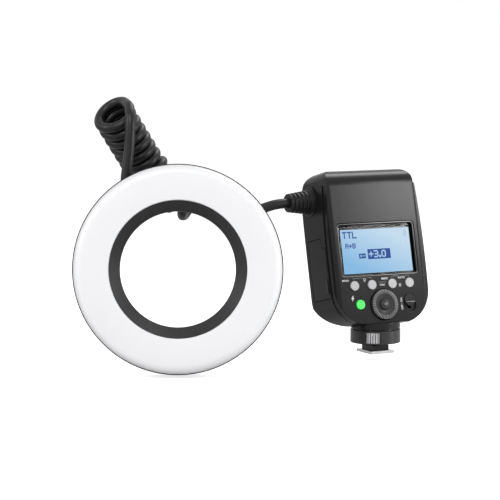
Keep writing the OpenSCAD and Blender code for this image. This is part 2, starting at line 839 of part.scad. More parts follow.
// The room in the swollen side, behind the parting line and under the crown
module swell_hollow() {
    room_w = parting_w + unit_wall;
    intersection() {
        translate([right_swell, 0, 0]) unit_hollow();
        in_panel() translate([0, -far, -unit_depth])
            cube([far, far + crown_v - unit_wall, unit_depth - room_w]);
    }
}

// Places a child at each housing screw, on the panel's plane
module at_posts() {
    for (x = [-post_x, post_x], v = [post_low_v, post_high_v]) translate([x, v, 0]) children();
}

module button_places() {
    for (x = [-button_x2, -button_x1, button_x1, button_x2]) translate([x, button_v, 0]) children();
    translate([-test_x, test_v, 0]) children();
}

module switch_outline(inset) {
    round_rect(switch_w - 2 * inset, switch_h - 2 * inset, switch_w / 2 - inset - fit);
}

module panel_shell() {
    slot_w = switch_w / 4 + 2 * slip;
    slot_h = switch_travel + switch_stem_l + 2 * slip;
    color([0.13, 0.13, 0.14]) difference() {
        union() {
            difference() {
                intersection() {
                    unit_solid(panel_step, 0);
                    union() {
                        front_region();
                        crown_region();
                    }
                }
                unit_hollow();
            }
            in_panel() at_posts() translate([0, 0, -post_w])
                cylinder(r = post_r, h = post_w - unit_wall + fit);
        }
        in_panel() translate([0, lcd_v, -2 * unit_wall]) linear_extrude(3 * unit_wall)
            round_rect(lcd_w, lcd_h, lcd_corner_r);
        in_panel() button_places() translate([0, 0, -2 * unit_wall])
            cylinder(r = button_cap_r + slip, h = 3 * unit_wall);
        in_panel() translate([0, 0, -2 * unit_wall]) cylinder(d = dial_hub_d + 2 * fit, h = 3 * unit_wall);
        in_panel() translate([0, 0, -dial_recess]) cylinder(d = dial_d + 2 * gap, h = unit_wall);
        in_panel() translate([switch_x, 0, -switch_pocket]) linear_extrude(unit_wall) switch_outline(0);
        in_panel() translate([switch_x - slot_w / 2, -slot_h / 2, -2 * unit_wall])
            cube([slot_w, slot_h, 2 * unit_wall]);
        in_panel() at_posts() translate([0, 0, -post_w - cut])
            cylinder(d = screw_d + 2 * fit, h = post_bore_l + cut + fit);
    }
}

module main_shell() {
    color([0.11, 0.11, 0.115]) difference() {
        union() {
            difference() {
                unit_solid(0, right_swell);
                front_region();
                crown_region();
                unit_hollow();
                swell_hollow();
            }
            difference() {
                in_panel() translate([-relief_x, relief_v, -relief_w]) rotate([0, 90, 0])
                    cylinder(d = relief_flange_d, h = relief_boss_h);
                crown_region();
            }
            intersection() {
                in_panel() at_posts() translate([0, 0, unit_wall - unit_depth - fit])
                    cylinder(r = post_r, h = unit_depth - unit_wall - post_w + fit);
                unit_solid(0, right_swell);
            }
        }
        in_panel() at_posts() translate([0, 0, -unit_depth - cut])
            cylinder(d = screw_head_d + 2 * fit, h = cut + screw_sink + screw_head_h);
        in_panel() translate([-relief_x, relief_v, -relief_w]) rotate([0, -90, 0])
            cylinder(d = relief_flange_d + 2 * fit, h = relief_seat + cut);
        in_panel() at_posts() translate([0, 0, -unit_depth - cut])
            cylinder(d = screw_d + 2 * fit, h = unit_depth);
        in_panel() battery_place() translate([0, 0, -cut]) linear_extrude(cap_t + gap + cut)
            cap_outline(gap);
        in_panel() battery_place() linear_extrude(2 * bay_start) pack_outline(gap);
    }
}

module housing_screws() {
    color("silver") in_panel() at_posts() translate([0, 0, screw_sink - unit_depth])
        slotted_screw(unit_depth - screw_sink - post_w + post_bore_l - fit);
}

module lcd_window() {
    w = lcd_w + 2 * window_lap;
    h = lcd_h + 2 * window_lap;
    color([0.1, 0.12, 0.16, 0.5]) in_panel() translate([0, lcd_v, -window_w]) linear_extrude(window_t)
        round_rect(w, h, lcd_corner_r);
}

module lcd_module() {
    color("lightskyblue") in_panel() translate([0, lcd_v, -window_w - lcd_module_t / 2])
        cube([lcd_w - 2 * lcd_margin, lcd_h - 2 * lcd_margin, lcd_module_t], center = true);
}

module main_board() {
    color("darkgreen") in_panel() translate([-board_half_x, board_low_v, -board_w - board_t])
        cube([2 * board_half_x, board_high_v - board_low_v, board_t]);
}

module capacitor() {
    axis_w = board_w + board_t + gap + capacitor_d / 2;
    color("navy") in_panel() translate([0, capacitor_v, -axis_w]) rotate([0, 90, 0])
        cylinder(d = capacitor_d, h = capacitor_l, center = true);
}

// A round push button with a flange behind the panel
module push_button(x, v) {
    in_panel() translate([x, v, -button_stem_w]) {
        cylinder(r = button_cap_r, h = button_stem_w + button_proud);
        cylinder(r = button_cap_r + button_flange, h = button_flange_t);
    }
}

module function_button_1() { color("lightgray") push_button(-button_x2, button_v); }
module function_button_2() { color("lightgray") push_button(-button_x1, button_v); }
module function_button_3() { color("lightgray") push_button(button_x1, button_v); }
module function_button_4() { color("lightgray") push_button(button_x2, button_v); }
module test_button() { color("limegreen") push_button(-test_x, test_v); }

module dial() {
    low = gap - dial_recess;
    ridge_low = dial_proud - dial_ridge_depth;
    ridge_w = PI * dial_d / dial_ridges / 2;
    color([0.1, 0.1, 0.1]) in_panel() difference() {
        union() {
            translate([0, 0, -dial_hub_w]) cylinder(d = dial_hub_d, h = dial_hub_w);
            translate([0, 0, low]) cylinder(d = dial_d, h = ridge_low - low);
            translate([0, 0, ridge_low]) cylinder(d = dial_ridge_d, h = dial_ridge_depth);
            translate([0, 0, ridge_low]) linear_extrude(dial_ridge_depth) intersection() {
                circle(d = dial_d);
                for (i = [0:dial_ridges - 1]) rotate(360 / dial_ridges * i)
                    translate([dial_ridge_d / 2 - slip, -ridge_w / 2]) square([dial_d, ridge_w]);
            }
        }
        translate([0, 0, -dial_hub_w - cut])
            cylinder(d = set_d + 2 * slip, h = dial_hub_w + dial_proud + 2 * cut);
    }
}

module set_button() {
    flange_w = dial_hub_w + gap + set_flange_t;
    dome_h = set_dome_r - sqrt(set_dome_r * set_dome_r - set_d * set_d / 4);
    color([0.12, 0.12, 0.12]) in_panel() {
        translate([0, 0, -flange_w]) cylinder(d = dial_hub_d, h = set_flange_t);
        translate([0, 0, -flange_w]) cylinder(d = set_d, h = flange_w + dial_proud);
        intersection() {
            translate([0, 0, dial_proud + dome_h - set_dome_r]) sphere(set_dome_r);
            cylinder(d = set_d, h = dial_proud + dome_h + cut);
        }
    }
}

module power_switch() {
    knob_r = switch_w / 2 - switch_clear;
    arc_v = knob_r - switch_knob_h / 2;
    stem_w = switch_w / 4;
    catch_w = stem_w + 2 * switch_clear + 1;
    catch_z = -unit_wall - gap - switch_catch_t;
    color([0.1, 0.1, 0.1]) in_panel() translate([switch_x, switch_travel / 2, 0]) {
        translate([0, 0, switch_clear - switch_pocket])
            linear_extrude(switch_pocket - switch_clear + switch_proud) intersection() {
                translate([0, -arc_v]) circle(knob_r);
                translate([0, arc_v]) circle(knob_r);
            }
        translate([-stem_w / 2, -switch_stem_l / 2, catch_z]) cube([stem_w, switch_stem_l, -catch_z]);
        translate([-catch_w / 2, -switch_stem_l / 2, catch_z])
            cube([catch_w, switch_stem_l, switch_catch_t]);
    }
}

// Places a child on the left side: x towards the back, y up the panel, z into the unit
module battery_place() {
    translate([-half_w, battery_v, -battery_depth]) rotate([0, 90, 0]) children();
}

module pack_outline(grow) {
    square([battery_w + 2 * grow, battery_h + 2 * grow], center = true);
}

// The pack's outer cap: the pack's own outline and the latch's tab in front of it
module cap_outline(grow) {
    pack_outline(grow);
    translate([-battery_w / 2 - latch_tab_w - grow, -battery_h / 2 - grow])
        square([latch_tab_w + 2 * grow, battery_h - latch_tab_drop + 2 * grow]);
}

module latch_outline(grow) {
    translate([-battery_w / 2 - latch_tab_w + latch_edge - grow, latch_low - battery_h / 2 - grow])
        square([latch_tab_w - 2 * latch_edge + 2 * grow, latch_h + 2 * grow]);
}

module battery_bay() {
    color([0.2, 0.2, 0.2]) in_panel() battery_place() difference() {
        translate([0, 0, bay_start]) linear_extrude(bay_end + bay_wall - bay_start)
            pack_outline(gap + bay_wall);
        translate([0, 0, bay_start - cut]) linear_extrude(bay_end - bay_start + cut) pack_outline(gap);
    }
}

module battery_pack() {
    color([0.12, 0.12, 0.125]) difference() {
        union() {
            intersection() {
                unit_solid(0, 0);
                in_panel() battery_place() linear_extrude(cap_t) cap_outline(0);
            }
            in_panel() battery_place() translate([0, 0, cap_t - fit])
                linear_extrude(battery_l - cap_t) pack_outline(0);
        }
        in_panel() battery_place() translate([0, 0, -cut]) linear_extrude(cap_t + 2 * cut)
            latch_outline(slip);
    }
}

module battery_latch() {
    color([0.1, 0.1, 0.1]) in_panel() battery_place() translate([0, 0, -latch_proud])
        linear_extrude(cap_t + gap - latch_travel - switch_clear + latch_proud) latch_outline(0);
}

module shoe_neck() {
    cone_top_z = lock_z - gap;
    color([0.08, 0.08, 0.085]) difference() {
        union() {
            translate([-neck_w / 2, -neck_l / 2, foot_t]) cube([neck_w, neck_l, cone_z - foot_t]);
            translate([0, 0, cone_z]) cylinder(d1 = neck_l, d2 = cone_top_d, h = cone_top_z - cone_z);
            translate([0, 0, cone_z]) cylinder(d = spindle_d, h = spindle_top_z - cone_z);
            difference() {
                translate([0, 0, spindle_top_z]) cylinder(d = band_d, h = base_front_z - spindle_top_z);
                unit_solid(0, right_swell);
            }
        }
        translate([0, -pin_front, 0]) cylinder(d = pin_d + 2 * fit, h = pin_top_z + cut);
    }
}

module shoe_plate() {
    color("silver") difference() {
        translate([-foot_w / 2, -foot_l / 2, 0]) cube([foot_w, foot_l, foot_t]);
        translate([-block_w / 2 - fit, block_back - block_l / 2 - fit, -cut])
            cube([block_w + 2 * fit, block_l + 2 * fit, foot_t + 2 * cut]);
        translate([0, -pin_front, -cut]) cylinder(d = pin_d + 2 * fit, h = foot_t + 2 * cut);
    }
}

module at_contacts() {
    for (p = contact_places) translate([p.x * contact_pitch, block_back + p.y * contact_pitch, 0])
        children();
}

module contact_block() {
    color([0.05, 0.05, 0.05]) difference() {
        translate([-block_w / 2, block_back - block_l / 2, 0]) cube([block_w, block_l, foot_t]);
        at_contacts() translate([0, 0, -cut]) cylinder(d = contact_d + 2 * fit, h = foot_t + 2 * cut);
    }
}

module contact_pins() {
    color("gold") at_contacts() translate([0, 0, -contact_proud])
        cylinder(d = contact_d, h = contact_proud + contact_top_z);
}

// A wedge about the shoe's axis, pointing at the lock pad
module pad_wedge(span) {
    x = lock_d * tan(span / 2);
    rotate([0, 0, -pad_angle]) linear_extrude(2 * lock_z + lock_h)
        polygon([[0, 0], [-x, -lock_d], [x, -lock_d]]);
}

module pad_ring(grow) {
    low = lock_z + (lock_h - pad_h) / 2 - grow;
    difference() {
        translate([0, 0, low]) cylinder(d = lock_d + 2 * pad_proud, h = pad_h + 2 * grow);
        translate([0, 0, low - cut])
            cylinder(d = lock_d - 2 * pad_t - 2 * grow, h = pad_h + 2 * grow + 2 * cut);
    }
}

module lock_collar() {
    color([0.1, 0.1, 0.105]) difference() {
        union() {
            translate([0, 0, lock_z]) cylinder(d = lock_d, h = lock_h);
            translate([0, 0, lock_z]) cylinder(d = lock_lip_d, h = lock_h + lock_lip_h);
            for (side = [-1, 1]) rotate([0, 0, -pad_angle + side * (pad_span / 2 + pad_rib_angle)])
                translate([-pad_rib_w / 2, -lock_d / 2 - pad_proud, lock_z + (lock_h - pad_h) / 2])
                    cube([pad_rib_w, pad_t, pad_h]);
        }
        translate([0, 0, lock_z - cut])
            cylinder(d = spindle_d + 2 * fit, h = lock_h + lock_lip_h + 2 * cut);
        intersection() {
            pad_ring(fit);
            pad_wedge(pad_span + pad_clear_angle);
        }
    }
}

module lock_pad() {
    step = pad_span / pad_grooves;
    color([0.75, 0.75, 0.77]) difference() {
        intersection() {
            pad_ring(0);
            pad_wedge(pad_span);
        }
        for (i = [0:pad_grooves - 1]) rotate([0, 0, -pad_angle + (i - (pad_grooves - 1) / 2) * step])
            translate([-pad_groove_w / 2, -lock_d / 2 - pad_proud - cut, 0])
                cube([pad_groove_w, cut + pad_groove_depth, 2 * lock_z + lock_h]);
    }
}

module lock_pin() {
    color("silver") translate([0, -pin_front, pin_rest_z]) cylinder(d = pin_d, h = pin_top_z - pin_rest_z);
}

ring_diffuser();
ring_bezel();
ring_back_cover();
ring_mount_collar();
ring_reflector();
flash_tubes();
modelling_lamps();
ring_board();
ring_screws();
release_slide_left();
release_slide_right();
ring_terminal();
ring_boot();
cord_run_ring();
cord_curls();
cord_run_unit();
cord_relief();
panel_shell();
main_shell();
housing_screws();
lcd_window();
lcd_module();
function_button_1();
function_button_2();
function_button_3();
function_button_4();
test_button();
dial();
set_button();
power_switch();
main_board();
capacitor();
battery_bay();
battery_pack();
battery_latch();
shoe_neck();
shoe_plate();
contact_block();
contact_pins();
lock_collar();
lock_pad();
lock_pin();
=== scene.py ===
# %% [markdown]
# # A macro ring flash
# The object has two housings joined by a curly cord: a ring-shaped lamp head that sits in front of a lens,
# and a control unit that stands in a camera's accessory shoe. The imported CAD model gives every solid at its
# real size and place. This lesson dresses those solids: round pieces are turned again with fine profiles,
# moulded cases get softened edges, the cord gets its real curls, and every surface gets a finish of its own.

# %% Load the frame
import json
import math

import bpy
from mathutils import Matrix, Vector

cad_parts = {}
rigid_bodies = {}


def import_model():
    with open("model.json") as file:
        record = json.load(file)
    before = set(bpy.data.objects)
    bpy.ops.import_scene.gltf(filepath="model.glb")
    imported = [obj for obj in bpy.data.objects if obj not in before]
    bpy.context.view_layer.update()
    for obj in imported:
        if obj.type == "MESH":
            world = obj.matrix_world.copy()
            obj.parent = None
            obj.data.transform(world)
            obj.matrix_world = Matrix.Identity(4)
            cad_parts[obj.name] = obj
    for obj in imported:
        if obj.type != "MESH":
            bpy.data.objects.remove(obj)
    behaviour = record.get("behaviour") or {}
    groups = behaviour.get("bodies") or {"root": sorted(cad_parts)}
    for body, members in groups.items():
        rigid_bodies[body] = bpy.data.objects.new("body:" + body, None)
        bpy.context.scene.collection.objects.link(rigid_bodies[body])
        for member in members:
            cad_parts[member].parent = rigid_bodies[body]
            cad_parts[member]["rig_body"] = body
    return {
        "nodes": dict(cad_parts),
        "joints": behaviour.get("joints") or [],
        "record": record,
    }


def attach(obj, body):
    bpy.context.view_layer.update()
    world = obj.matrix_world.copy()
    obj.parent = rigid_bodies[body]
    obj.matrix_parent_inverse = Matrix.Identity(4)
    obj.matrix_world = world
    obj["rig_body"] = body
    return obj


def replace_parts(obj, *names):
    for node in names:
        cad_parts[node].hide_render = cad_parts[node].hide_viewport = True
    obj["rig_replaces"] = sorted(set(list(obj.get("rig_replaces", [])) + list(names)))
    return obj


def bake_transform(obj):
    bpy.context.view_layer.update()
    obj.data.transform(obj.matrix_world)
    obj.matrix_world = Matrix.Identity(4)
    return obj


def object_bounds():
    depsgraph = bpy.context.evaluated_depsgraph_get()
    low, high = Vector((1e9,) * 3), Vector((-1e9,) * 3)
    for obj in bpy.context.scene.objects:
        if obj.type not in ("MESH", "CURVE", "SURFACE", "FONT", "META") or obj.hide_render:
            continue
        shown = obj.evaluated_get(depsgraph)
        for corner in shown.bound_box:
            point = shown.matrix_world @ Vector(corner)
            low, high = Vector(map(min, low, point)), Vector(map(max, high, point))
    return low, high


MM = 0.001
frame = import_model()
CAD_LOW, CAD_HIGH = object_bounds()
JOINTS = {joint["name"]: joint for joint in frame["joints"]}
MOUNTS = {mount["name"]: mount for mount in frame["record"]["mounts"]}
NODES = frame["nodes"]

# %% [markdown]
# Both housings stand at an angle, so each gets its own axes. The dial's joint gives the panel's origin and
# the way out of it. The ring head's axes come from the way it pulls and from its lens seat. Pieces are then
# modelled flat, in millimetres, and a matrix carries the finished mesh to its place.

# %% Axes of the panel and of the ring head
SEAT_BEHIND_FRONT = 23.5


def axes_matrix(right, out, origin):
    """A matrix whose columns are right, up and out, scaled from millimetres to metres."""
    up = out.cross(right)
    turn = Matrix((right, up, out)).transposed().to_4x4()
    return Matrix.Translation(origin) @ turn @ Matrix.Scale(MM, 4)


panel_out = Vector(JOINTS["dial_turn"]["axis"]).normalized()
PANEL = axes_matrix(Vector((1, 0, 0)), panel_out, Vector(JOINTS["dial_turn"]["pos_m"]))
ring_right = -Vector(JOINTS["ring_pull"]["axis"]).normalized()
ring_out = -Vector(MOUNTS["adapter_seat"]["axis"]).normalized()
ring_front = Vector(MOUNTS["adapter_seat"]["pos_m"]) + SEAT_BEHIND_FRONT * MM * ring_out
RING = axes_matrix(ring_right, ring_out, ring_front)
print("ring head's front is at", [round(x, 4) for x in ring_front])

# %% [markdown]
# A long lens from a little to the left of the unit and slightly above it gives the photograph's flat
# perspective, with the ring head turned almost square to the view.

# %% Camera
CAMERA_PLACE = Vector((-0.7708, -1.2647, 0.2243))
CAMERA_LOOK = Vector((0.4665, 0.8783, -0.1028))
FOCAL_PIXELS = 2138
FRAME_PIXELS = 500
bpy.ops.object.camera_add(location=CAMERA_PLACE)
camera = bpy.context.object
camera.rotation_euler = CAMERA_LOOK.to_track_quat("-Z", "Y").to_euler()
camera.data.lens = camera.data.sensor_width * FOCAL_PIXELS / FRAME_PIXELS
bpy.context.scene.camera = camera
print("lens of", round(camera.data.lens, 1), "mm")

# %% [markdown]
# The cord is one elastic lead: a short run out of the ring's boot, a coil of close curls, and a run into the
# ribbed relief of the unit. The curls are a helix about an axis that is straight at first and then bends, and
# the last turn opens out. The formula repeats the CAD route, with more points to a turn.

# %% Route of the curls
CORD_D = 7.0
CURL_R = 11.2
CURL_PITCH = 7.5
BEND_PITCH = 10.0
COIL_TOP = Vector((-44.5, 107, -45.5))
COIL_BEND = Vector((-26.5, 78, -69.5))
COIL_END = Vector((8, 47.5, -76))
CURL_START = math.radians(-60)
UNWIND_L = 18
UNWIND_R = 4
POINTS_PER_CURL = 40
UNWIND_POINTS = 32
SHORT_STEP = 0.01

coil_dir = (COIL_BEND - COIL_TOP).normalized()
chord_dir = (COIL_END - COIL_BEND).normalized()
half_turn = math.acos(coil_dir.dot(chord_dir))
bend_r = (COIL_END - COIL_BEND).length / (2 * math.sin(half_turn))
straight_l = (COIL_BEND - COIL_TOP).length
bend_l = bend_r * 2 * half_turn
coil_l = straight_l + bend_l
coil_in = (chord_dir - coil_dir.dot(chord_dir) * coil_dir).normalized()
coil_side = coil_dir.cross(coil_in)
straight_turns = straight_l / CURL_PITCH
coil_turns = straight_turns + bend_l / BEND_PITCH


def axis_turn(s):
    return min(max(s - straight_l, 0), bend_l) / bend_r


def axis_dir(s):
    return math.cos(axis_turn(s)) * coil_dir + math.sin(axis_turn(s)) * coil_in


def axis_point(s):
    turn = axis_turn(s)
    bent = bend_r * (math.sin(turn) * coil_dir + (1 - math.cos(turn)) * coil_in)
    return COIL_TOP + min(s, straight_l) * coil_dir + bent + max(s - coil_l, 0) * axis_dir(s)


def curl_out(s, angle):
    inward = math.cos(axis_turn(s)) * coil_in - math.sin(axis_turn(s)) * coil_dir
    return math.cos(angle) * inward + math.sin(angle) * coil_side


def turn_angle(t):
    return CURL_START - 2 * math.pi * t


def curl_at(t):
    in_bend = t - straight_turns
    s = t * CURL_PITCH if in_bend < 0 else straight_l + in_bend * BEND_PITCH
    return axis_point(s) + CURL_R * curl_out(s, turn_angle(t))


def unwind_at(u):
    angle = turn_angle(coil_turns) - 2 * math.pi * UNWIND_L / BEND_PITCH * (1 - (1 - u) ** 3) / 3
    radius = CURL_R + (UNWIND_R - CURL_R) * u * u * (3 - 2 * u)
    return axis_point(coil_l + u * UNWIND_L) + radius * curl_out(coil_l, angle)


first_dir = (curl_at(SHORT_STEP) - curl_at(0)).normalized()
last_dir = axis_dir(coil_l)
curl_lead = curl_at(0) - CORD_D * first_dir
curl_exit = unwind_at(1) + CORD_D * last_dir
curl_count = round(coil_turns * POINTS_PER_CURL)
curl_route = [curl_lead]
curl_route += [curl_at(coil_turns * k / curl_count) for k in range(curl_count)]
curl_route += [unwind_at(k / UNWIND_POINTS) for k in range(UNWIND_POINTS + 1)]
curl_route += [curl_exit]
print("the coil has", round(coil_turns, 1), "turns")

# %% [markdown]
# The two free runs pass through a few given points. A Hermite curve through them, with its end
# directions given, is smooth where the run meets the curls, the boot and the relief.

# %% Routes of the free runs
RELIEF_TIP = Vector((-53.9, 76.8, -24.4))
BOOT_TIP = Vector((-35, 58, -31.4))
RING_RUN = [(-32.1, 107.2, -35.8), (-31.8, 103.9, -33.3), (-31.7, 99.8, -31.9)]
RING_RUN += [(-31.8, 94, -31.4), (-32.4, 82, -31.4), (-34, 69, -31.4)]
UNIT_RUN = [(39.2, 37.4, -66), (48.5, 38, -65.7), (57.6, 41.4, -66.8), (66.6, 44.3, -69.3)]
STEPS_PER_POINT = 8


def smooth_route(points, first, last):
    """Points of a Hermite curve through the given ones, leaving along first and ending along last."""
    spans = [(b - a).length for a, b in zip(points, points[1:])]
    dirs = [first] + [(c - a).normalized() for a, c in zip(points, points[2:])] + [last]
    route = [points[0]]
    for i, span in enumerate(spans):
        for k in range(1, STEPS_PER_POINT + 1):
            u = k / STEPS_PER_POINT
            route.append(
                (2 * u**3 - 3 * u**2 + 1) * points[i]
                + (u**3 - 2 * u**2 + u) * span * dirs[i]
                + (3 * u**2 - 2 * u**3) * points[i + 1]
                + (u**3 - u**2) * span * dirs[i + 1]
            )
    return route


relief_tip = RING.inverted() @ (PANEL @ RELIEF_TIP)
into_relief = -(RING.to_3x3().inverted() @ Vector((-1, 0, 0))).normalized()
ring_points = [curl_lead, *map(Vector, RING_RUN), BOOT_TIP]
ring_route = smooth_route(ring_points, -first_dir, Vector((0, -1, 0)))
unit_points = [curl_exit, *map(Vector, UNIT_RUN), relief_tip]
unit_route = smooth_route(unit_points, last_dir, into_relief)
print("the free runs have", len(ring_route), "and", len(unit_route), "points")

# %% [markdown]
# A rubber lead has the same thickness all along, so each piece is a curve with a round bevel, turned into a
# mesh. The two runs ride on the ring head and on the unit. On the object the curls are held by both, and so
# they stretch when the ring head is pulled away.

# %% Sweep the three cord pieces
CORD_SIDES = 5
CORD_SMOOTH = 50


def deselect():
    bpy.ops.object.select_all(action="DESELECT")


def select_only(piece):
    deselect()
    piece.select_set(True)
    bpy.context.view_layer.objects.active = piece


def cord_tube(name, route):
    """A closed tube of the cord's thickness along a route in the ring head's axes, and its path in metres."""
    path = [RING @ point for point in route]
    line = bpy.data.curves.new(name, "CURVE")
    line.dimensions = "3D"
    line.bevel_depth = CORD_D * MM / 2
    line.bevel_resolution = CORD_SIDES
    line.use_fill_caps = True
    spline = line.splines.new("POLY")
    spline.points.add(len(path) - 1)
    for point, place in zip(spline.points, path):
        point.co = (*place, 1)
    piece = bpy.data.objects.new(name, line)
    bpy.context.collection.objects.link(piece)
    select_only(piece)
    bpy.ops.object.convert(target="MESH")
    bpy.ops.object.shade_smooth_by_angle(angle=math.radians(CORD_SMOOTH))
    return piece, path


def path_length(path):
    return sum((b - a).length for a, b in zip(path, path[1:]))


curls, curl_path = cord_tube("curly_cord", curl_route)
ring_lead, ring_path = cord_tube("ring_lead", ring_route)
unit_lead, unit_path = cord_tube("unit_lead", unit_route)
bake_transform(curls)
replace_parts(curls, "cord_curls")
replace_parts(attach(ring_lead, "ring_head"), "cord_run_ring")
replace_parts(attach(unit_lead, "control_unit"), "cord_run_unit")
CORDS = [ring_lead, curls, unit_lead]
print("cord lengths", [round(path_length(path), 3) for path in (ring_path, curl_path, unit_path)])

# %% [markdown]
# Most finishes start alike: a principled shader, a noise on object coordinates at the grain's real size, and
# that noise used three times, for a slight drift of colour, for roughness and for a shallow bump. A helper
# makes this base, and each finish below sets its own values, so a surface never stays one flat colour.

# %% A grained finish
FINISHES = {}
NOISE_LOW = 0.3
NOISE_HIGH = 0.7
BROAD_GRAINS = 40
BUMP_STRENGTH = 0.5
COOL_TINT = 1.02


def node_of(tree, kind, **values):
    """A new shader node with the given inputs set."""
    node = tree.nodes.new(kind)
    for name, value in values.items():
        node.inputs[name].default_value = value
    return node


def ramp(tree, factor, low, high, start=0.0, end=1.0):
    """A colour ramp from low to high between two positions of a factor."""
    node = tree.nodes.new("ShaderNodeValToRGB")
    node.color_ramp.elements[0].position = start
    node.color_ramp.elements[1].position = end
    node.color_ramp.elements[0].color = (*low, 1)
    node.color_ramp.elements[1].color = (*high, 1)
    tree.links.new(factor, node.inputs["Fac"])
    return node.outputs["Color"]


def spread(tree, factor, low, high):
    """A number that runs from low to high over the middle of a noise."""
    node = tree.nodes.new("ShaderNodeMapRange")
    node.inputs["From Min"].default_value = NOISE_LOW
    node.inputs["From Max"].default_value = NOISE_HIGH
    node.inputs["To Min"].default_value = low
    node.inputs["To Max"].default_value = high
    tree.links.new(factor, node.inputs["Value"])
    return node.outputs["Result"]


def grained(name, dark, light, rough, grain, depth=0.02, metallic=0.0, stretch=(1, 1, 1), fixed=()):
    """A finish whose colour, roughness and bump follow noise with a grain given in millimetres."""
    material = bpy.data.materials.new(name)
    material.use_nodes = True
    tree = material.node_tree
    shader = tree.nodes["Principled BSDF"]
    shader.inputs["Metallic"].default_value = metallic
    for socket, value in fixed:
        shader.inputs[socket].default_value = value
    places = tree.nodes.new("ShaderNodeTexCoord").outputs["Object"]
    mapping = node_of(tree, "ShaderNodeMapping", Scale=stretch)
    tree.links.new(places, mapping.inputs["Vector"])
    fine = node_of(tree, "ShaderNodeTexNoise", Scale=1 / (grain * MM), Detail=3)
    broad = node_of(tree, "ShaderNodeTexNoise", Scale=1 / (BROAD_GRAINS * grain * MM), Detail=4)
    for noise in (fine, broad):
        tree.links.new(mapping.outputs["Vector"], noise.inputs["Vector"])
    both = tree.nodes.new("ShaderNodeMath")
    both.operation = "ADD"
    both.use_clamp = True
    half = tree.nodes.new("ShaderNodeMath")
    half.operation = "MULTIPLY"
    half.inputs[1].default_value = 0.5
    tree.links.new(fine.outputs["Fac"], both.inputs[0])
    tree.links.new(broad.outputs["Fac"], both.inputs[1])
    tree.links.new(both.outputs["Value"], half.inputs[0])
    colour = ramp(tree, half.outputs["Value"], dark, light, NOISE_LOW, NOISE_HIGH)
    tree.links.new(colour, shader.inputs["Base Color"])
    tree.links.new(spread(tree, half.outputs["Value"], *rough), shader.inputs["Roughness"])
    bump = node_of(tree, "ShaderNodeBump", Strength=BUMP_STRENGTH, Distance=depth * MM)
    tree.links.new(fine.outputs["Fac"], bump.inputs["Height"])
    tree.links.new(bump.outputs["Normal"], shader.inputs["Normal"])
    FINISHES[name] = material
    return material


def grey(value):
    return (value, value, value * COOL_TINT)


# %% [markdown]
# The cases are black plastic from a spark-eroded mould: a fine grain, half matt. Handled pieces are smoother,
# the cord and its boots are soft rubber, and the diffuser is milky. A low specular level keeps the blacks
# deep. The plated foot is brushed along one way, so its noise is stretched.

# %% The finishes
DULL = [("Specular IOR Level", 0.27)]
CASE_SHEEN = [("Specular IOR Level", 0.17)]
BRUSHED = (1, 0.08, 1)
case_black = grained("case_black", grey(0.007), grey(0.012), (0.26, 0.34), 0.22, fixed=CASE_SHEEN)
smooth_black = grained("smooth_black", grey(0.005), grey(0.009), (0.24, 0.34), 0.35, depth=0.008, fixed=DULL)
# A light grey for the ridges of the dial and of the switch: a painted highlight where they catch light.
ridge_painted_highlight = grained("ridge_painted_highlight", grey(0.16), grey(0.22), (0.24, 0.32), 0.3, depth=0.004)
# A smoother finish for the dish and the dome, whose lighter grey is a painted sheen for the light they catch.
dial_painted_sheen = grained("dial_painted_sheen", grey(0.03), grey(0.042), (0.32, 0.42), 0.3, depth=0.006, fixed=CASE_SHEEN)
lock_satin = grained("lock_satin", grey(0.01), grey(0.015), (0.3, 0.36), 0.3, depth=0.006)
bezel_grey = grained("bezel_grey", grey(0.022), grey(0.032), (0.42, 0.56), 0.3, depth=0.01, fixed=DULL)
rubber = grained("cord_rubber", grey(0.006), grey(0.012), (0.34, 0.46), 0.5, depth=0.01, fixed=DULL)
milk_white = grained("milk_white", (0.87, 0.87, 0.87), (0.91, 0.91, 0.91), (0.34, 0.42), 0.8, depth=0.006)
button_grey = grained("button_grey", grey(0.36), grey(0.42), (0.4, 0.5), 0.15, depth=0.01)
plated = grained(
    "plated_metal", grey(0.58), grey(0.68), (0.16, 0.28), 0.12, depth=0.004, metallic=1.0, stretch=BRUSHED
)
ribbed_metal = grained("pad_metal", grey(0.46), grey(0.58), (0.22, 0.34), 0.12, depth=0.006, metallic=1.0)
gold = grained(
    "contact_gold", (0.72, 0.46, 0.15), (0.86, 0.6, 0.24), (0.2, 0.3), 0.1, depth=0.003, metallic=1.0
)
screw_steel = grained("screw_steel", grey(0.16), grey(0.24), (0.3, 0.42), 0.1, depth=0.004, metallic=1.0)
silver = grained("reflector_silver", grey(0.78), grey(0.86), (0.12, 0.2), 0.4, depth=0.003, metallic=1.0)
board_green = grained("board_green", (0.012, 0.09, 0.03), (0.02, 0.14, 0.05), (0.3, 0.42), 0.4, depth=0.006)
sleeve_blue = grained(
    "capacitor_sleeve", (0.008, 0.012, 0.06), (0.014, 0.02, 0.09), (0.2, 0.3), 0.5, depth=0.004
)
lamp_cream = grained("lamp_cream", (0.8, 0.74, 0.5), (0.88, 0.82, 0.58), (0.16, 0.24), 0.3, depth=0.003)
print("made", len(FINISHES), "grained finishes")

# %% Cords take their rubber
for piece in CORDS:
    piece.data.materials.append(rubber)
print("rubber on", len(CORDS), "cord pieces")

# %% [markdown]
# A moulded or machined piece has no knife-sharp edges, and a thin bright line along each edge is what makes
# it read as real. The CAD solids have the right shapes, so a visible one is copied, its loose triangles are
# merged and dissolved into whole faces, and a bevel rounds every edge sharper than a chosen angle.

# %% Softened copies of the solids
SOFT_ANGLE = 28
SOFT_SEGMENTS = 3
FLAT_ANGLE = 0.4
WELD = 0.002
RIM_SEGMENTS = 6


def dress(piece, finish):
    piece.data.materials.clear()
    piece.data.materials.append(finish)


def pick(kind):
    """Sets whether edit mode works on vertices, edges or faces."""
    bpy.context.tool_settings.mesh_select_mode = [kind == each for each in ("VERT", "EDGE", "FACE")]


def unpick(piece):
    for item in (*piece.data.vertices, *piece.data.edges, *piece.data.polygons):
        item.select = False


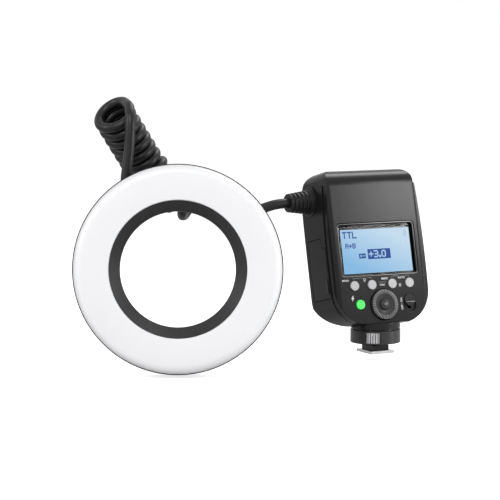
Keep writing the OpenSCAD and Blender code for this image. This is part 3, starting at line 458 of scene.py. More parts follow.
def round_rim(piece, rim, width):
    """Rounds the edges whose two ends both lie on a rim, which a test on their place picks out."""
    on_rim = [rim(piece.matrix_world @ point.co) for point in piece.data.vertices]
    unpick(piece)
    for edge in piece.data.edges:
        edge.select = all(on_rim[k] for k in edge.vertices)
    pick("EDGE")
    bpy.ops.object.mode_set(mode="EDIT")
    bpy.ops.mesh.bevel(offset=width * MM, segments=RIM_SEGMENTS, affect="EDGES", clamp_overlap=True)
    bpy.ops.object.mode_set(mode="OBJECT")
    pick("VERT")


def softened(node, name, finish, width, rims=()):
    """A copy of a CAD node with rounded edges, which rides and stands for it."""
    piece = NODES[node].copy()
    piece.data = NODES[node].data.copy()
    piece.name = name
    piece.parent = None
    for key in list(piece.keys()):
        del piece[key]
    bpy.context.collection.objects.link(piece)
    select_only(piece)
    if piece.data.has_custom_normals:
        bpy.ops.mesh.customdata_custom_splitnormals_clear()
    bpy.ops.object.mode_set(mode="EDIT")
    bpy.ops.mesh.select_all(action="SELECT")
    bpy.ops.mesh.remove_doubles(threshold=WELD * MM)
    bpy.ops.mesh.dissolve_limited(angle_limit=math.radians(FLAT_ANGLE))
    bpy.ops.object.mode_set(mode="OBJECT")
    for rim, rim_width in rims:
        round_rim(piece, rim, rim_width)
    if width:
        bevel = piece.modifiers.new("edges", "BEVEL")
        bevel.width = width * MM
        bevel.segments = SOFT_SEGMENTS
        bevel.angle_limit = math.radians(SOFT_ANGLE)
        bevel.use_clamp_overlap = False
        bevel.miter_outer = "MITER_ARC"
        bpy.ops.object.modifier_apply(modifier="edges")
    bpy.ops.object.shade_smooth_by_angle(angle=math.radians(SOFT_ANGLE))
    weighted = piece.modifiers.new("normals", "WEIGHTED_NORMAL")
    weighted.keep_sharp = True
    bpy.ops.object.modifier_apply(modifier="normals")
    dress(piece, finish)
    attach(piece, NODES[node]["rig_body"])
    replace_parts(piece, node)
    return piece


# %% [markdown]
# The rear case stands out past the panel, and there its shoulders are rounded more than its other edges. So
# are the rims of the lock ring. A test on the place of an edge's two ends finds these edges for the bevel.

# %% Rims that are rounded more than the rest
PARTING = -6.6
CROWN_V = 85.5
HALF_W = 38.0
BARREL_R = 650.0
WIDEST_V = 32.0
RIGHT_SWELL = 4.0
CORNER_R = 24.0
CORNER_V = 10.9
LOCK_R = 17.5
LOCK_Z = (7.3, 16.5)
NEAR = 0.08
RIGHT_ROUND = 3.0
LEFT_ROUND = 0.7
LOCK_ROUND = 0.9
into_panel = PANEL.inverted()


def half_width(v):
    return HALF_W - (v - WIDEST_V) ** 2 / (2 * BARREL_R)


def on_shoulder(place, right):
    """The front and top edges of the rear case where it stands out past the panel."""
    x, v, w = into_panel @ place
    side = x - RIGHT_SWELL if right else -x
    corner_x = half_width(CORNER_V) - CORNER_R
    low_r = math.hypot(side - corner_x, v - CORNER_V)
    off = abs(side - half_width(v)) if v > CORNER_V else abs(low_r - CORNER_R)
    return side > corner_x and off < NEAR and min(abs(w - PARTING), abs(v - CROWN_V)) < NEAR


def on_right_shoulder(place):
    return on_shoulder(place, True)


def on_left_shoulder(place):
    return on_shoulder(place, False)


def on_lock_rim(place):
    """The two outer edges of the lock ring."""
    x, y, z = place / MM
    return abs(math.hypot(x, y) - LOCK_R) < NEAR and min(abs(z - level) for level in LOCK_Z) < NEAR


SHOULDERS = [(on_right_shoulder, RIGHT_ROUND), (on_left_shoulder, LEFT_ROUND)]
LOCK_RIMS = [(on_lock_rim, LOCK_ROUND)]

# %% The cases and their fittings
softened("panel_shell", "front_case", case_black, 0.35)
softened("main_shell", "rear_case", case_black, 0.35, rims=SHOULDERS)
softened("battery_pack", "battery_cap", case_black, 0.3)
softened("battery_latch", "battery_catch", smooth_black, 0.3)
softened("ring_back_cover", "ring_rear_case", case_black, 0.4)
softened("ring_mount_collar", "lens_seat", smooth_black, 0.25)
softened("release_slide_left", "left_release", smooth_black, 0.35)
softened("release_slide_right", "right_release", smooth_black, 0.35)
softened("ring_terminal", "cord_terminal", case_black, 0.8)
softened("shoe_neck", "shoe_stem", smooth_black, 0.3)
softened("shoe_plate", "shoe_foot", plated, 0.25)
softened("contact_block", "contact_bed", smooth_black, 0.15)
softened("contact_pins", "shoe_contacts", gold, 0.2)
softened("lock_collar", "lock_ring", lock_satin, 0.2, rims=LOCK_RIMS)
pad = softened("lock_pad", "lock_thumb_pad", ribbed_metal, 0.1)
softened("lock_pin", "lock_bolt", screw_steel, 0.2)
softened("housing_screws", "case_screws", screw_steel, 0.12)
softened("ring_screws", "ring_case_screws", screw_steel, 0.12)
softened("cord_relief", "ribbed_relief", rubber, 0.25)
softened("ring_boot", "ribbed_boot", rubber, 0.25)
softened("battery_bay", "battery_tray", smooth_black, 0.3)

# %% [markdown]
# The ribs of the thumb pad are bare metal. The shade in the grooves between them is painted: the faces in a
# groove are found by how deep they lie under the ribs, and take a second finish, a black one.

# %% Painted shade in the grooves of the thumb pad
GROOVE_SHADE_DEPTH = (0.2, 0.6)
# the black second finish is painted shade in the grooves
pad.data.materials.append(smooth_black)
pad_r = max(math.hypot(point.co.x, point.co.y) for point in pad.data.vertices)
for face in pad.data.polygons:
    deep = (pad_r - math.hypot(face.center.x, face.center.y)) / MM
    face.material_index = int(GROOVE_SHADE_DEPTH[0] < deep < GROOVE_SHADE_DEPTH[1])
print("darkened", sum(face.material_index for face in pad.data.polygons), "faces of the pad")

# %% [markdown]
# The diffuser and the cone inside it are turned shapes. Each starts as one point, which is extruded along
# its section and then spun round the ring's axis. The section holds what the eye looks for: the wide round
# edge of the diffuser, and the fine turned grooves of the cone.

# %% Turning a section
DOUBLES = 0.001


def arc(x, z, radius, start, end, steps):
    """Points of an arc in a section, with angles in degrees."""
    angles = [math.radians(start + (end - start) * k / steps) for k in range(steps + 1)]
    return [(x + radius * math.cos(a), z + radius * math.sin(a)) for a in angles]


def turned(name, section, place, steps):
    """A piece spun from a section of (radius, height) points in millimetres, carried to its place."""
    deselect()
    bpy.ops.mesh.primitive_plane_add(size=1)
    piece = bpy.context.object
    piece.name = name
    bpy.ops.object.mode_set(mode="EDIT")
    bpy.ops.mesh.merge(type="CENTER")
    bpy.ops.transform.translate(value=(section[0][0], 0, section[0][1]))
    for a, b in zip(section, section[1:]):
        step = (b[0] - a[0], 0, b[1] - a[1])
        bpy.ops.mesh.extrude_region_move(TRANSFORM_OT_translate={"value": step})
    bpy.ops.mesh.select_all(action="SELECT")
    bpy.ops.mesh.spin(steps=steps, angle=2 * math.pi, center=(0, 0, 0), axis=(0, 0, 1))
    bpy.ops.mesh.select_all(action="SELECT")
    bpy.ops.mesh.remove_doubles(threshold=DOUBLES)
    bpy.ops.mesh.normals_make_consistent(inside=False)
    bpy.ops.object.mode_set(mode="OBJECT")
    settle(piece, place)
    return piece


def settle(piece, place):
    """Carries a mesh modelled in millimetres to its place and shades it."""
    select_only(piece)
    piece.matrix_world = place @ piece.matrix_world
    bpy.ops.object.transform_apply(location=True, rotation=True, scale=True)
    bpy.ops.object.shade_smooth_by_angle(angle=math.radians(SOFT_ANGLE))


def stand_for(piece, finish, body, *nodes):
    """Dresses a piece and lets it ride on a body in place of its CAD nodes."""
    dress(piece, finish)
    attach(piece, body)
    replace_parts(piece, *nodes)


# %% Diffuser
DIFFUSER_IN = 45.75
DIFFUSER_OUT = 69.3
DIFFUSER_DEEP = 7.0
DIFFUSER_WALL = 1.8
EDGE_ROUND = 6.0
INNER_ROUND = 0.8
edge_x = DIFFUSER_OUT - EDGE_ROUND
section = [(DIFFUSER_IN, -DIFFUSER_DEEP)]
section += arc(DIFFUSER_IN + INNER_ROUND, -INNER_ROUND, INNER_ROUND, 180, 90, steps=5)
section += arc(edge_x, -EDGE_ROUND, EDGE_ROUND, 90, 0, steps=14)
section += [(DIFFUSER_OUT, -DIFFUSER_DEEP), (DIFFUSER_OUT - DIFFUSER_WALL, -DIFFUSER_DEEP)]
section += arc(edge_x, -EDGE_ROUND, EDGE_ROUND - DIFFUSER_WALL, 0, 90, steps=10)
section += [(DIFFUSER_IN + DIFFUSER_WALL, -DIFFUSER_WALL), (DIFFUSER_IN + DIFFUSER_WALL, -DIFFUSER_DEEP)]
section += section[:1]
diffuser = turned("light_diffuser", section, RING, steps=160)
stand_for(diffuser, milk_white, "ring_head", "ring_diffuser")
print("the diffuser has", len(diffuser.data.polygons), "faces")

# %% [markdown]
# Beside its bright face the round edge of the diffuser looks grey, because light leaves a milky window mostly
# straight ahead. That shade is painted: a gradient along the ring's axis, in object coordinates, is
# multiplied into the finish, so the edge keeps its grain and only gets darker.

# %% Painted shade on the edge of the diffuser
EDGE_SHADE = 0.6
FACE_DEEP = 0.5


def gradient(tree, start, end):
    """A factor that runs from 0 at one point to 1 at another, in object coordinates."""
    way = end - start
    places = tree.nodes.new("ShaderNodeTexCoord").outputs["Object"]
    offset = tree.nodes.new("ShaderNodeVectorMath")
    offset.operation = "SUBTRACT"
    offset.inputs[1].default_value = start
    dot = tree.nodes.new("ShaderNodeVectorMath")
    dot.operation = "DOT_PRODUCT"
    dot.inputs[1].default_value = way / way.length_squared
    tree.links.new(places, offset.inputs[0])
    tree.links.new(offset.outputs["Vector"], dot.inputs[0])
    return dot.outputs["Value"]


def darken_along(material, start, end, low):
    """Multiplies a finish's colour by a grey that runs from low at one point to 1 at another."""
    tree = material.node_tree
    colour = tree.nodes["Principled BSDF"].inputs["Base Color"]
    product = tree.nodes.new("ShaderNodeVectorMath")
    product.operation = "MULTIPLY"
    tree.links.new(colour.links[0].from_socket, product.inputs[0])
    tree.links.new(ramp(tree, gradient(tree, start, end), grey(low), grey(1.0)), product.inputs[1])
    tree.links.new(product.outputs["Vector"], colour)


edge_end = RING @ Vector((0, 0, -EDGE_ROUND))
# painted shade: the diffuser's white darkens towards its round edge
darken_along(milk_white, edge_end, RING @ Vector((0, 0, -FACE_DEEP)), EDGE_SHADE)
print("the edge is darkened to", EDGE_SHADE)

# %% [markdown]
# The cone inside the ring is dark and finely grooved, so that it throws no light towards the lens. The
# grooves are small steps in its section, and a spin carries them round.

# %% Inner cone with turned grooves
CONE_FRONT = 45.6
CONE_BACK = 38.5
CONE_DEEP = 10.0
CONE_SET_BACK = 0.8
SLEEVE_END = -16.0
SLEEVE_WALL = 2.2
FLANGE_OUT = 50.0
FLANGE_LOW = -8.5
GROOVES = 18
GROOVE_DEEP = 0.1
GROOVE_START = 0.2
GROOVE_END = 0.6


def cone_point(share, out=0.0):
    deep = CONE_SET_BACK + (CONE_DEEP - CONE_SET_BACK) * share
    return (CONE_FRONT + (CONE_BACK - CONE_FRONT) * share + out, -deep)


section = [cone_point(0)]
for k in range(GROOVES):
    section.append(cone_point((k + GROOVE_START) / GROOVES))
    section.append(cone_point((k + GROOVE_END) / GROOVES, GROOVE_DEEP))
section += [cone_point(1), (CONE_BACK, SLEEVE_END), (CONE_BACK + SLEEVE_WALL, SLEEVE_END)]
section += [(CONE_BACK + SLEEVE_WALL, FLANGE_LOW), (FLANGE_OUT, FLANGE_LOW), (FLANGE_OUT, -DIFFUSER_DEEP)]
section += [(CONE_FRONT, -DIFFUSER_DEEP), section[0]]
cone = turned("turned_cone", section, RING, steps=160)
stand_for(cone, bezel_grey, "ring_head", "ring_bezel")
print("the cone has", GROOVES, "grooves")

# %% [markdown]
# The display sits behind a clear window. A black mask frames it, its face glows with a gradient from pale
# at the top to blue at the bottom, and its characters are built from square dots, as such displays do.

# %% Display colours
CLEAR_IOR = 1.01
GLOW_SLANT = 8


def glowing(name, low, high, start, end):
    """A lit surface whose glow runs between two colours."""
    material = bpy.data.materials.new(name)
    material.use_nodes = True
    tree = material.node_tree
    shader = tree.nodes["Principled BSDF"]
    shader.inputs["Base Color"].default_value = (0, 0, 0, 1)
    shader.inputs["Roughness"].default_value = 0.5
    shader.inputs["Specular IOR Level"].default_value = 0.0
    shader.inputs["Emission Strength"].default_value = 1.0
    tree.links.new(ramp(tree, gradient(tree, start, end), low, high), shader.inputs["Emission Color"])
    return material


def clear(name, tint, rough=0.02):
    """A clear finish that light passes through, with hardly any mirror image of the lamps."""
    material = bpy.data.materials.new(name)
    material.use_nodes = True
    shader = material.node_tree.nodes["Principled BSDF"]
    shader.inputs["Base Color"].default_value = (*tint, 1)
    shader.inputs["Roughness"].default_value = rough
    shader.inputs["IOR"].default_value = CLEAR_IOR
    shader.inputs["Transmission Weight"].default_value = 1.0
    return material


LCD_V = 38.8
LCD_FACE = -3.4
ACTIVE_LEFT = -27.0
ACTIVE_LOW = 22.8
ACTIVE_W = 55.6
ACTIVE_H = 30.8
ACTIVE_TOP = ACTIVE_LOW + ACTIVE_H
screen_low = PANEL @ Vector((0, ACTIVE_LOW, 0))
screen_top = PANEL @ Vector((0, ACTIVE_TOP, 0))
slant_low = PANEL @ Vector((-GLOW_SLANT, ACTIVE_LOW, 0))
slant_top = PANEL @ Vector((GLOW_SLANT, ACTIVE_TOP, 0))
screen_clear = clear("screen_clear", (0.97, 0.98, 0.98))
screen_glow = glowing("screen_blue", (0.26, 0.51, 0.78), (0.58, 0.74, 0.88), slant_low, slant_top)
dots_dark = glowing("dots_dark", (0.045, 0.085, 0.3), (0.06, 0.11, 0.36), screen_low, screen_top)
dots_faint = glowing("dots_faint", (0.42, 0.52, 0.66), (0.46, 0.56, 0.7), screen_low, screen_top)
print("the glow runs over", round((slant_top - slant_low).length / MM, 1), "mm")


# %% Flat pieces made of boxes
def boxes(name, rows, low, high):
    """One mesh of flat boxes, each given by its left, bottom, width and height in millimetres."""
    deselect()
    bpy.ops.mesh.primitive_cube_add(size=1)
    piece = bpy.context.object
    piece.name = name
    bpy.ops.object.mode_set(mode="EDIT")
    bpy.ops.mesh.delete(type="VERT")
    for left, bottom, width, height in rows:
        middle = (left + width / 2, bottom + height / 2, (low + high) / 2)
        bpy.ops.mesh.primitive_cube_add(size=1, location=middle, scale=(width, height, high - low))
    bpy.ops.object.mode_set(mode="OBJECT")
    settle(piece, PANEL)
    return piece


def ride_along(piece, finish, body):
    """Dresses a piece that has no CAD node of its own and lets it ride on a body."""
    dress(piece, finish)
    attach(piece, body)


# %% Display module and mask
MODULE_W = 58.4
MODULE_H = 34.0
MODULE_T = 3.6
MASK_W = 64.0
MASK_H = 39.6
MASK_LAYER = (LCD_FACE + 0.06, LCD_FACE + 0.16)
softened("lcd_window", "display_window", screen_clear, 0.2)
module_row = (-MODULE_W / 2, LCD_V - MODULE_H / 2, MODULE_W, MODULE_H)
module = boxes("display_module", [module_row], LCD_FACE - MODULE_T, LCD_FACE)
stand_for(module, screen_glow, "control_unit", "lcd_module")
mask_left = -MASK_W / 2
mask_low = LCD_V - MASK_H / 2
active_right = ACTIVE_LEFT + ACTIVE_W
mask = boxes("display_mask", [
    (mask_left, mask_low, ACTIVE_LEFT - mask_left, MASK_H),
    (active_right, mask_low, -mask_left - active_right, MASK_H),
    (mask_left, mask_low, MASK_W, ACTIVE_LOW - mask_low),
    (mask_left, ACTIVE_TOP, MASK_W, mask_low + MASK_H - ACTIVE_TOP),
], *MASK_LAYER)
ride_along(mask, smooth_black, "control_unit")
print("the display's face is", ACTIVE_W, "by", ACTIVE_H, "mm")

# %% [markdown]
# A glossy printed border lies on the window, just under the panel's surface. It starts as a plane whose
# corners are bevelled to the opening's radius, an inset marks its inner edge, and the rest is extruded.

# %% Border of the window
OPENING_W = 62.4
OPENING_H = 38.0
OPENING_R = 3.0
BORDER_GAP = 0.15
BORDER_W = 1.0
BORDER_LOW = -1.98
BORDER_HIGH = -0.5
BORDER_EDGE = 0.15
border_gloss = grained("border_gloss", grey(0.005), grey(0.008), (0.2, 0.26), 0.4, depth=0.002)
deselect()
bpy.ops.mesh.primitive_plane_add(size=1, location=(0, LCD_V, BORDER_LOW))
border = bpy.context.object
border.name = "display_border"
border.scale = (OPENING_W - 2 * BORDER_GAP, OPENING_H - 2 * BORDER_GAP, 1)
bpy.ops.object.transform_apply(location=True, scale=True)
bpy.ops.object.mode_set(mode="EDIT")
bpy.ops.mesh.select_all(action="SELECT")
bpy.ops.mesh.bevel(affect="VERTICES", offset=OPENING_R - BORDER_GAP, segments=8)
pick("FACE")
bpy.ops.mesh.select_all(action="SELECT")
bpy.ops.mesh.inset(thickness=BORDER_W)
bpy.ops.mesh.delete(type="FACE")
bpy.ops.mesh.select_all(action="SELECT")
bpy.ops.mesh.extrude_region_move(TRANSFORM_OT_translate={"value": (0, 0, BORDER_HIGH - BORDER_LOW)})
bpy.ops.mesh.select_all(action="SELECT")
bpy.ops.mesh.normals_make_consistent(inside=False)
bpy.ops.object.mode_set(mode="OBJECT")
pick("VERT")
bevel = border.modifiers.new("edges", "BEVEL")
bevel.width = BORDER_EDGE
bevel.segments = 2
bpy.ops.object.modifier_apply(modifier="edges")
settle(border, PANEL)
ride_along(border, border_gloss, "control_unit")
print("the border has", len(border.data.polygons), "faces")

# %% [markdown]
# Each character is a small grid of lit and unlit dots. Lit neighbours in a row become one box, a little
# larger than the grid's step so that rows run together, and boxes of one colour share a mesh.

# %% Characters of square dots
GLYPHS = {
    "T": ["#####", "..#..", "..#..", "..#..", "..#..", "..#..", "..#.."],
    "L": ["#....", "#....", "#....", "#....", "#....", "#....", "#####"],
    "A": [".###.", "#...#", "#...#", "#####", "#...#", "#...#", "#...#"],
    "B": ["####.", "#...#", "#...#", "####.", "#...#", "#...#", "####."],
    "+": [".....", "..#..", "..#..", "#####", "..#..", "..#..", "....."],
    "-": [".....", ".....", ".....", "#####", ".....", ".....", "....."],
    "3": ["####.", "....#", "....#", ".###.", "....#", "....#", "####."],
    "0": [".###.", "#...#", "#...#", "#...#", "#...#", "#...#", ".###."],
    ".": ["..", "..", "..", "..", "..", "##", "##"],
}
DOT_FILL = 1.4
DOT_LAYER = (LCD_FACE + 0.01, LCD_FACE + 0.04)
INVERSE_LAYER = (LCD_FACE + 0.05, LCD_FACE + 0.08)


def dot_text(text, left, top, dot):
    """Boxes for a line of characters, with neighbouring dots of a row joined."""
    found = []
    for letter in text:
        for row, line in enumerate(GLYPHS[letter]):
            column = 0
            while column < len(line):
                run = len(line[column:]) - len(line[column:].lstrip("#"))
                if run:
                    low = top - (row + 1) * dot
                    found.append((left + column * dot, low, (run - 1 + DOT_FILL) * dot, DOT_FILL * dot))
                column += max(run, 1)
        left += (len(GLYPHS[letter][0]) + 1) * dot
    return found


VALUE_BAR = (-6.6, ACTIVE_TOP - 21.2, 18.4, 7.0)
SIGN_BAR = (-13.8, ACTIVE_TOP - 20.4, 5.4, 3.4)
dark_rows = dot_text("TTL", ACTIVE_LEFT + 1.4, ACTIVE_TOP - 1.6, 0.66)
dark_rows += dot_text("A+B", ACTIVE_LEFT + 3.0, ACTIVE_TOP - 9.8, 0.48)
dark_rows += [VALUE_BAR, SIGN_BAR]
dark = boxes("display_dots", dark_rows, *DOT_LAYER)
ride_along(dark, dots_dark, "control_unit")
pale_rows = dot_text("+3.0", -5.8, ACTIVE_TOP - 15.4, 0.68)
pale_rows += dot_text("+-", -13.2, ACTIVE_TOP - 17.4, 0.38)
pale = boxes("display_inverse_dots", pale_rows, *INVERSE_LAYER)
ride_along(pale, screen_glow, "control_unit")
print("the display shows", len(dark_rows) + len(pale_rows), "runs of dots")

# %% Faint sign on the display
ICON_X = active_right - 4.2
ICON_W = 1.8
ICON_H = 4.6
ICON_LINE = 0.5
ICON_STEP = 1.4
ICON_LOW = ACTIVE_TOP - 6.2
ICON_TOP = ACTIVE_TOP - 2.0
faint_rows = [(ICON_X, ICON_TOP - ICON_STEP * k, ICON_W, ICON_LINE) for k in range(4)]
faint_rows += [(x, ICON_LOW, ICON_LINE, ICON_H) for x in (ICON_X, ICON_X + ICON_W - ICON_LINE)]
faint = boxes("display_icon", faint_rows, *DOT_LAYER)
ride_along(faint, dots_faint, "control_unit")
print("the sign has", len(faint_rows), "lines")

# %% [markdown]
# The controls: flat grey buttons and a lit green one, a dial whose ridges stand round a dished ring, a domed
# button at its centre, and a slide switch with a ridge for the thumb.

# %% Buttons
button_green = grained(
    "button_green", (0.05, 0.72, 0.09), (0.07, 0.8, 0.12), (0.36, 0.44), 0.2, depth=0.006,
    fixed=[("Emission Color", (0.1, 1.0, 0.14, 1)), ("Emission Strength", 0.1)],
)
for number in range(1, 5):
    softened(f"function_button_{number}", f"grey_button_{number}", button_grey, 0.22)
softened("test_button", "green_button", button_green, 0.3)
print("made five buttons")

# %% [markdown]
# The dial is turned from its section with two slices to a ridge. Every second face of the flat outer ring is
# then extruded up into a ridge. The dish, the upper parts of the ridges and the side are told apart by place.
# The side stays black; the ridges get a light grey as a painted highlight, and the dish a lighter grey as a
# painted sheen.

# %% Dial
DIAL_R = 10.7
DIAL_LOW = -0.5
DIAL_TOP = 2.0
DIAL_RIDGES = 48
RIDGE_IN = 7.7
RIDGE_TALL = 0.95
HUB_R = 5.5
HUB_LOW = -4.0
BORE_R = 4.0
BORE_TOP = 0.7
BORE_LIP = 0.3
DISH_LOW = 0.85
DISH_RISE = 0.95
DISH_STEPS = 7
DISH_STEP = 0.4
DISH_CURVE = 1.6
CREST_IN = 0.1
EDGE_IN = 0.35
RIDGE_EDGE = 0.09
RIDGE_ANGLE = 35
dish_end = RIDGE_IN - CREST_IN
ridge_floor = DIAL_TOP - RIDGE_TALL
section = [(BORE_R, HUB_LOW), (BORE_R, BORE_TOP), (BORE_R + BORE_LIP, DISH_LOW)]
for k in range(1, DISH_STEPS + 1):
    dish_r = BORE_R + BORE_LIP + DISH_STEP * k
    section.append((dish_r, DISH_LOW + DISH_RISE * (k / DISH_STEPS) ** DISH_CURVE))
section += [(RIDGE_IN - 0.3, DIAL_TOP - 0.12), (dish_end, DIAL_TOP - 0.2), (RIDGE_IN, ridge_floor)]
section += [(DIAL_R - EDGE_IN, ridge_floor - 0.1), (DIAL_R, ridge_floor - 0.5), (DIAL_R, DIAL_LOW)]
section += [(HUB_R, DIAL_LOW), (HUB_R, HUB_LOW), (BORE_R, HUB_LOW)]
dial = turned("ridged_dial", section, Matrix.Identity(4), steps=2 * DIAL_RIDGES)
print("the section of the dial has", len(section), "points")

# %% Ridges of the dial
slice_angle = math.pi / DIAL_RIDGES
unpick(dial)
for face in dial.data.polygons:
    out = math.hypot(face.center.x, face.center.y)
    slice_number = math.floor(math.atan2(face.center.y, face.center.x) / slice_angle)
    face.select = RIDGE_IN < out < DIAL_R - EDGE_IN and face.center.z > 0 and slice_number % 2 == 0
pick("FACE")
bpy.ops.object.mode_set(mode="EDIT")
bpy.ops.mesh.extrude_region_move(TRANSFORM_OT_translate={"value": (0, 0, RIDGE_TALL)})
bpy.ops.object.mode_set(mode="OBJECT")
pick("VERT")
bevel = dial.modifiers.new("edges", "BEVEL")
bevel.width = RIDGE_EDGE
bevel.segments = 2
bevel.angle_limit = math.radians(RIDGE_ANGLE)
bpy.ops.object.modifier_apply(modifier="edges")
parts = []
# the upper parts of the ridges take the painted highlight, the dish the painted sheen
for face in dial.data.polygons:
    in_dish = math.hypot(face.center.x, face.center.y) < dish_end
    on_ridge = not in_dish and face.center.z > ridge_floor + RIDGE_TALL / 2
    parts.append(1 if in_dish else 2 if on_ridge else 0)
settle(dial, PANEL)
stand_for(dial, smooth_black, "dial", "dial")
dial.data.materials.append(dial_painted_sheen)
dial.data.materials.append(ridge_painted_highlight)
for face, part in zip(dial.data.polygons, parts):
    face.material_index = part
print("the dial has", DIAL_RIDGES, "ridges on", len(parts), "faces")

# %% [markdown]
# The button at the dial's centre is a short stem with a flange that keeps it in, under a shallow dome. Its
# section ends in an arc of the dome's radius, which a spin closes at the middle.

# %% Button in the dial
SET_R = 3.8
DOME_R = 6.0
STEM_LOW = -5.3
FLANGE_TOP = -4.3
DOME_SINK = 0.3
dome_tall = DOME_R - math.sqrt(DOME_R ** 2 - SET_R ** 2)
dome_middle = DIAL_TOP + dome_tall - DOME_R
half_angle = math.degrees(math.asin(SET_R / DOME_R))
section = [(0.0, STEM_LOW), (HUB_R, STEM_LOW), (HUB_R, FLANGE_TOP), (SET_R, FLANGE_TOP)]
section += [(SET_R, DIAL_TOP - DOME_SINK)]
section += arc(0, dome_middle, DOME_R, 90 - half_angle, 90, steps=14)[1:]
centre_button = turned("domed_button", section, PANEL, steps=64)
# the dome takes the dish's lighter grey, a painted sheen
stand_for(centre_button, dial_painted_sheen, "set_button", "set_button")
print("the dome rises", round(dome_tall, 2), "mm")

# %% Slide switch
SWITCH_X = 21.1
SWITCH_REST = 2.1
THUMB_W = 7.2
THUMB_H = 0.5
THUMB_DROP = 1.6
THUMB_LAYER = (0.4, 1.2)
softened("power_switch", "switch_knob", smooth_black, 0.25)
thumb_row = (SWITCH_X - THUMB_W / 2, SWITCH_REST - THUMB_DROP, THUMB_W, THUMB_H)
ridge = boxes("switch_ridge", [thumb_row], *THUMB_LAYER)
# the ridge's light grey is a painted highlight, where the ridge catches light
ride_along(ridge, ridge_painted_highlight, "power_switch")
print("the switch has a ridge of", THUMB_W, "mm")

# %% [markdown]
# Printed marks lie on the panel as sheets a few hundredths of a millimetre thick: plain words for the
# buttons, a lamp, a bolt and a padlock as simple signs, thin lines that tie the words to the buttons, and the
# two states of the switch. Letters are text turned into a mesh, and the bolt is filled from its outline.

# %% Ink and lettering
ink_white = grained("ink_white", grey(0.62), grey(0.72), (0.45, 0.55), 0.2, depth=0.002)
ink_grey = grained("ink_grey", grey(0.24), grey(0.3), (0.45, 0.55), 0.2, depth=0.002)
INK_LOW = 0.015
INK_HIGH = 0.045
BOLDER = 0.012


def words(name, text, x, v, size, turn=0.0):
    """Letters as a thin solid mesh, centred at a place on the panel and still in millimetres."""
    deselect()
    bpy.ops.object.text_add()
    letters = bpy.context.object
    letters.name = name
    letters.data.body = text
    letters.data.size = size
    letters.data.align_x = "CENTER"
    letters.data.align_y = "CENTER"
    letters.data.extrude = (INK_HIGH - INK_LOW) / 2
    letters.data.offset = BOLDER * size
    letters.data.resolution_u = 3
    bpy.ops.object.convert(target="MESH")
    place = Matrix.Translation((x, v, (INK_LOW + INK_HIGH) / 2))
    letters.matrix_world = place @ Matrix.Rotation(turn, 4, "Z")
    return letters


def outline(name, points, x, v):
    """A thin flat mesh filled from an outline, centred at a place on the panel and still in millimetres."""
    deselect()
    bpy.ops.mesh.primitive_plane_add(size=1)
    piece = bpy.context.object
    piece.name = name
    bpy.ops.object.mode_set(mode="EDIT")
    bpy.ops.mesh.merge(type="CENTER")
    bpy.ops.transform.translate(value=(x + points[0][0], v + points[0][1], INK_LOW))
    for a, b in zip(points, points[1:] + points[:1]):
        bpy.ops.mesh.extrude_region_move(TRANSFORM_OT_translate={"value": (b[0] - a[0], b[1] - a[1], 0)})
    bpy.ops.mesh.select_all(action="SELECT")
    bpy.ops.mesh.remove_doubles(threshold=DOUBLES)
    bpy.ops.mesh.edge_face_add()
    bpy.ops.mesh.select_all(action="SELECT")
    bpy.ops.mesh.extrude_region_move(TRANSFORM_OT_translate={"value": (0, 0, INK_HIGH - INK_LOW)})
    bpy.ops.mesh.select_all(action="SELECT")
    bpy.ops.mesh.normals_make_consistent(inside=False)
    bpy.ops.object.mode_set(mode="OBJECT")
    return piece


def print_on(piece, finish, body="control_unit"):
    """Carries a mark to the panel and lets it ride there."""
    settle(piece, PANEL)
    ride_along(piece, finish, body)


def lines(name, rows, finish):
    ride_along(boxes(name, rows, INK_LOW, INK_HIGH), finish, "control_unit")


# %% Words, bolt and leader lines
for name, text, x, v, size in [
    ("word_mode", "MODE", -28.8, 18.0, 1.9), ("word_menu", "MENU", 2.6, 18.0, 1.9),
    ("word_ratio", "RATIO", 16.4, 18.0, 1.9), ("word_sync", "SYNC", 0.4, 13.7, 1.7),
]:
    print_on(words(name, text, x, v, size), ink_white)
BOLT = [(0.5, 2.1), (-1.3, -0.2), (-0.1, -0.2), (-0.7, -2.1), (1.3, 0.5), (0.1, 0.5), (1.0, 2.1)]
print_on(outline("bolt_mark", BOLT, -24.6, 5.4), ink_white)
BUTTON_X = (-22.2, -8.2, 8.2, 22.2)
LEADER_V = 19.25
LINE_T = 0.2
STUB_W = 0.24
STUB_H = 1.1
STUB_DROP = 0.9
leaders = [(x - STUB_W / 2, LEADER_V - STUB_DROP, STUB_W, STUB_H) for x in BUTTON_X]
for left, width in [(-21.6, 6.4), (-11.8, 3.6), (9.0, 4.6), (19.4, 2.8)]:
    leaders.append((left, LEADER_V, width, LINE_T))
leaders.append((-2.4, 15.6, 6.0, LINE_T))
lines("leader_lines", leaders, ink_grey)
STATE_X = 14.4
for name, text, v in [("word_on", "ON", 2.4), ("word_off", "OFF", -2.6)]:
    print_on(words(name, text, STATE_X, v, 2.0, math.pi / 2), ink_white)
lines("switch_line", [(13.5, -0.25, 1.8, LINE_T)], ink_grey)
print("printed the words and lines")

# %% Lamp and padlock outlines
def ring_mark(name, x, v, radius, thick):
    near = radius - thick / 2
    far = radius + thick / 2
    band = [(near, INK_LOW), (far, INK_LOW), (far, INK_HIGH), (near, INK_HIGH)]
    piece = turned(name, band + band[:1], Matrix.Translation((x, v, 0)), steps=32)
    print_on(piece, ink_white)


LAMP_X = -13.6
PADLOCK_X = 14.6
ring_mark("lamp_mark", LAMP_X, 18.2, 0.85, 0.28)
lines("lamp_base", [(LAMP_X - 0.35, 16.75, 0.7, 0.22), (LAMP_X - 0.25, 16.4, 0.5, 0.22)], ink_white)
ring_mark("padlock_bow", PADLOCK_X, 13.3, 0.6, 0.25)
lines("padlock_case", [(PADLOCK_X - 0.9, 11.8, 1.8, 1.4)], ink_grey)
print("drew the lamp and the padlock")

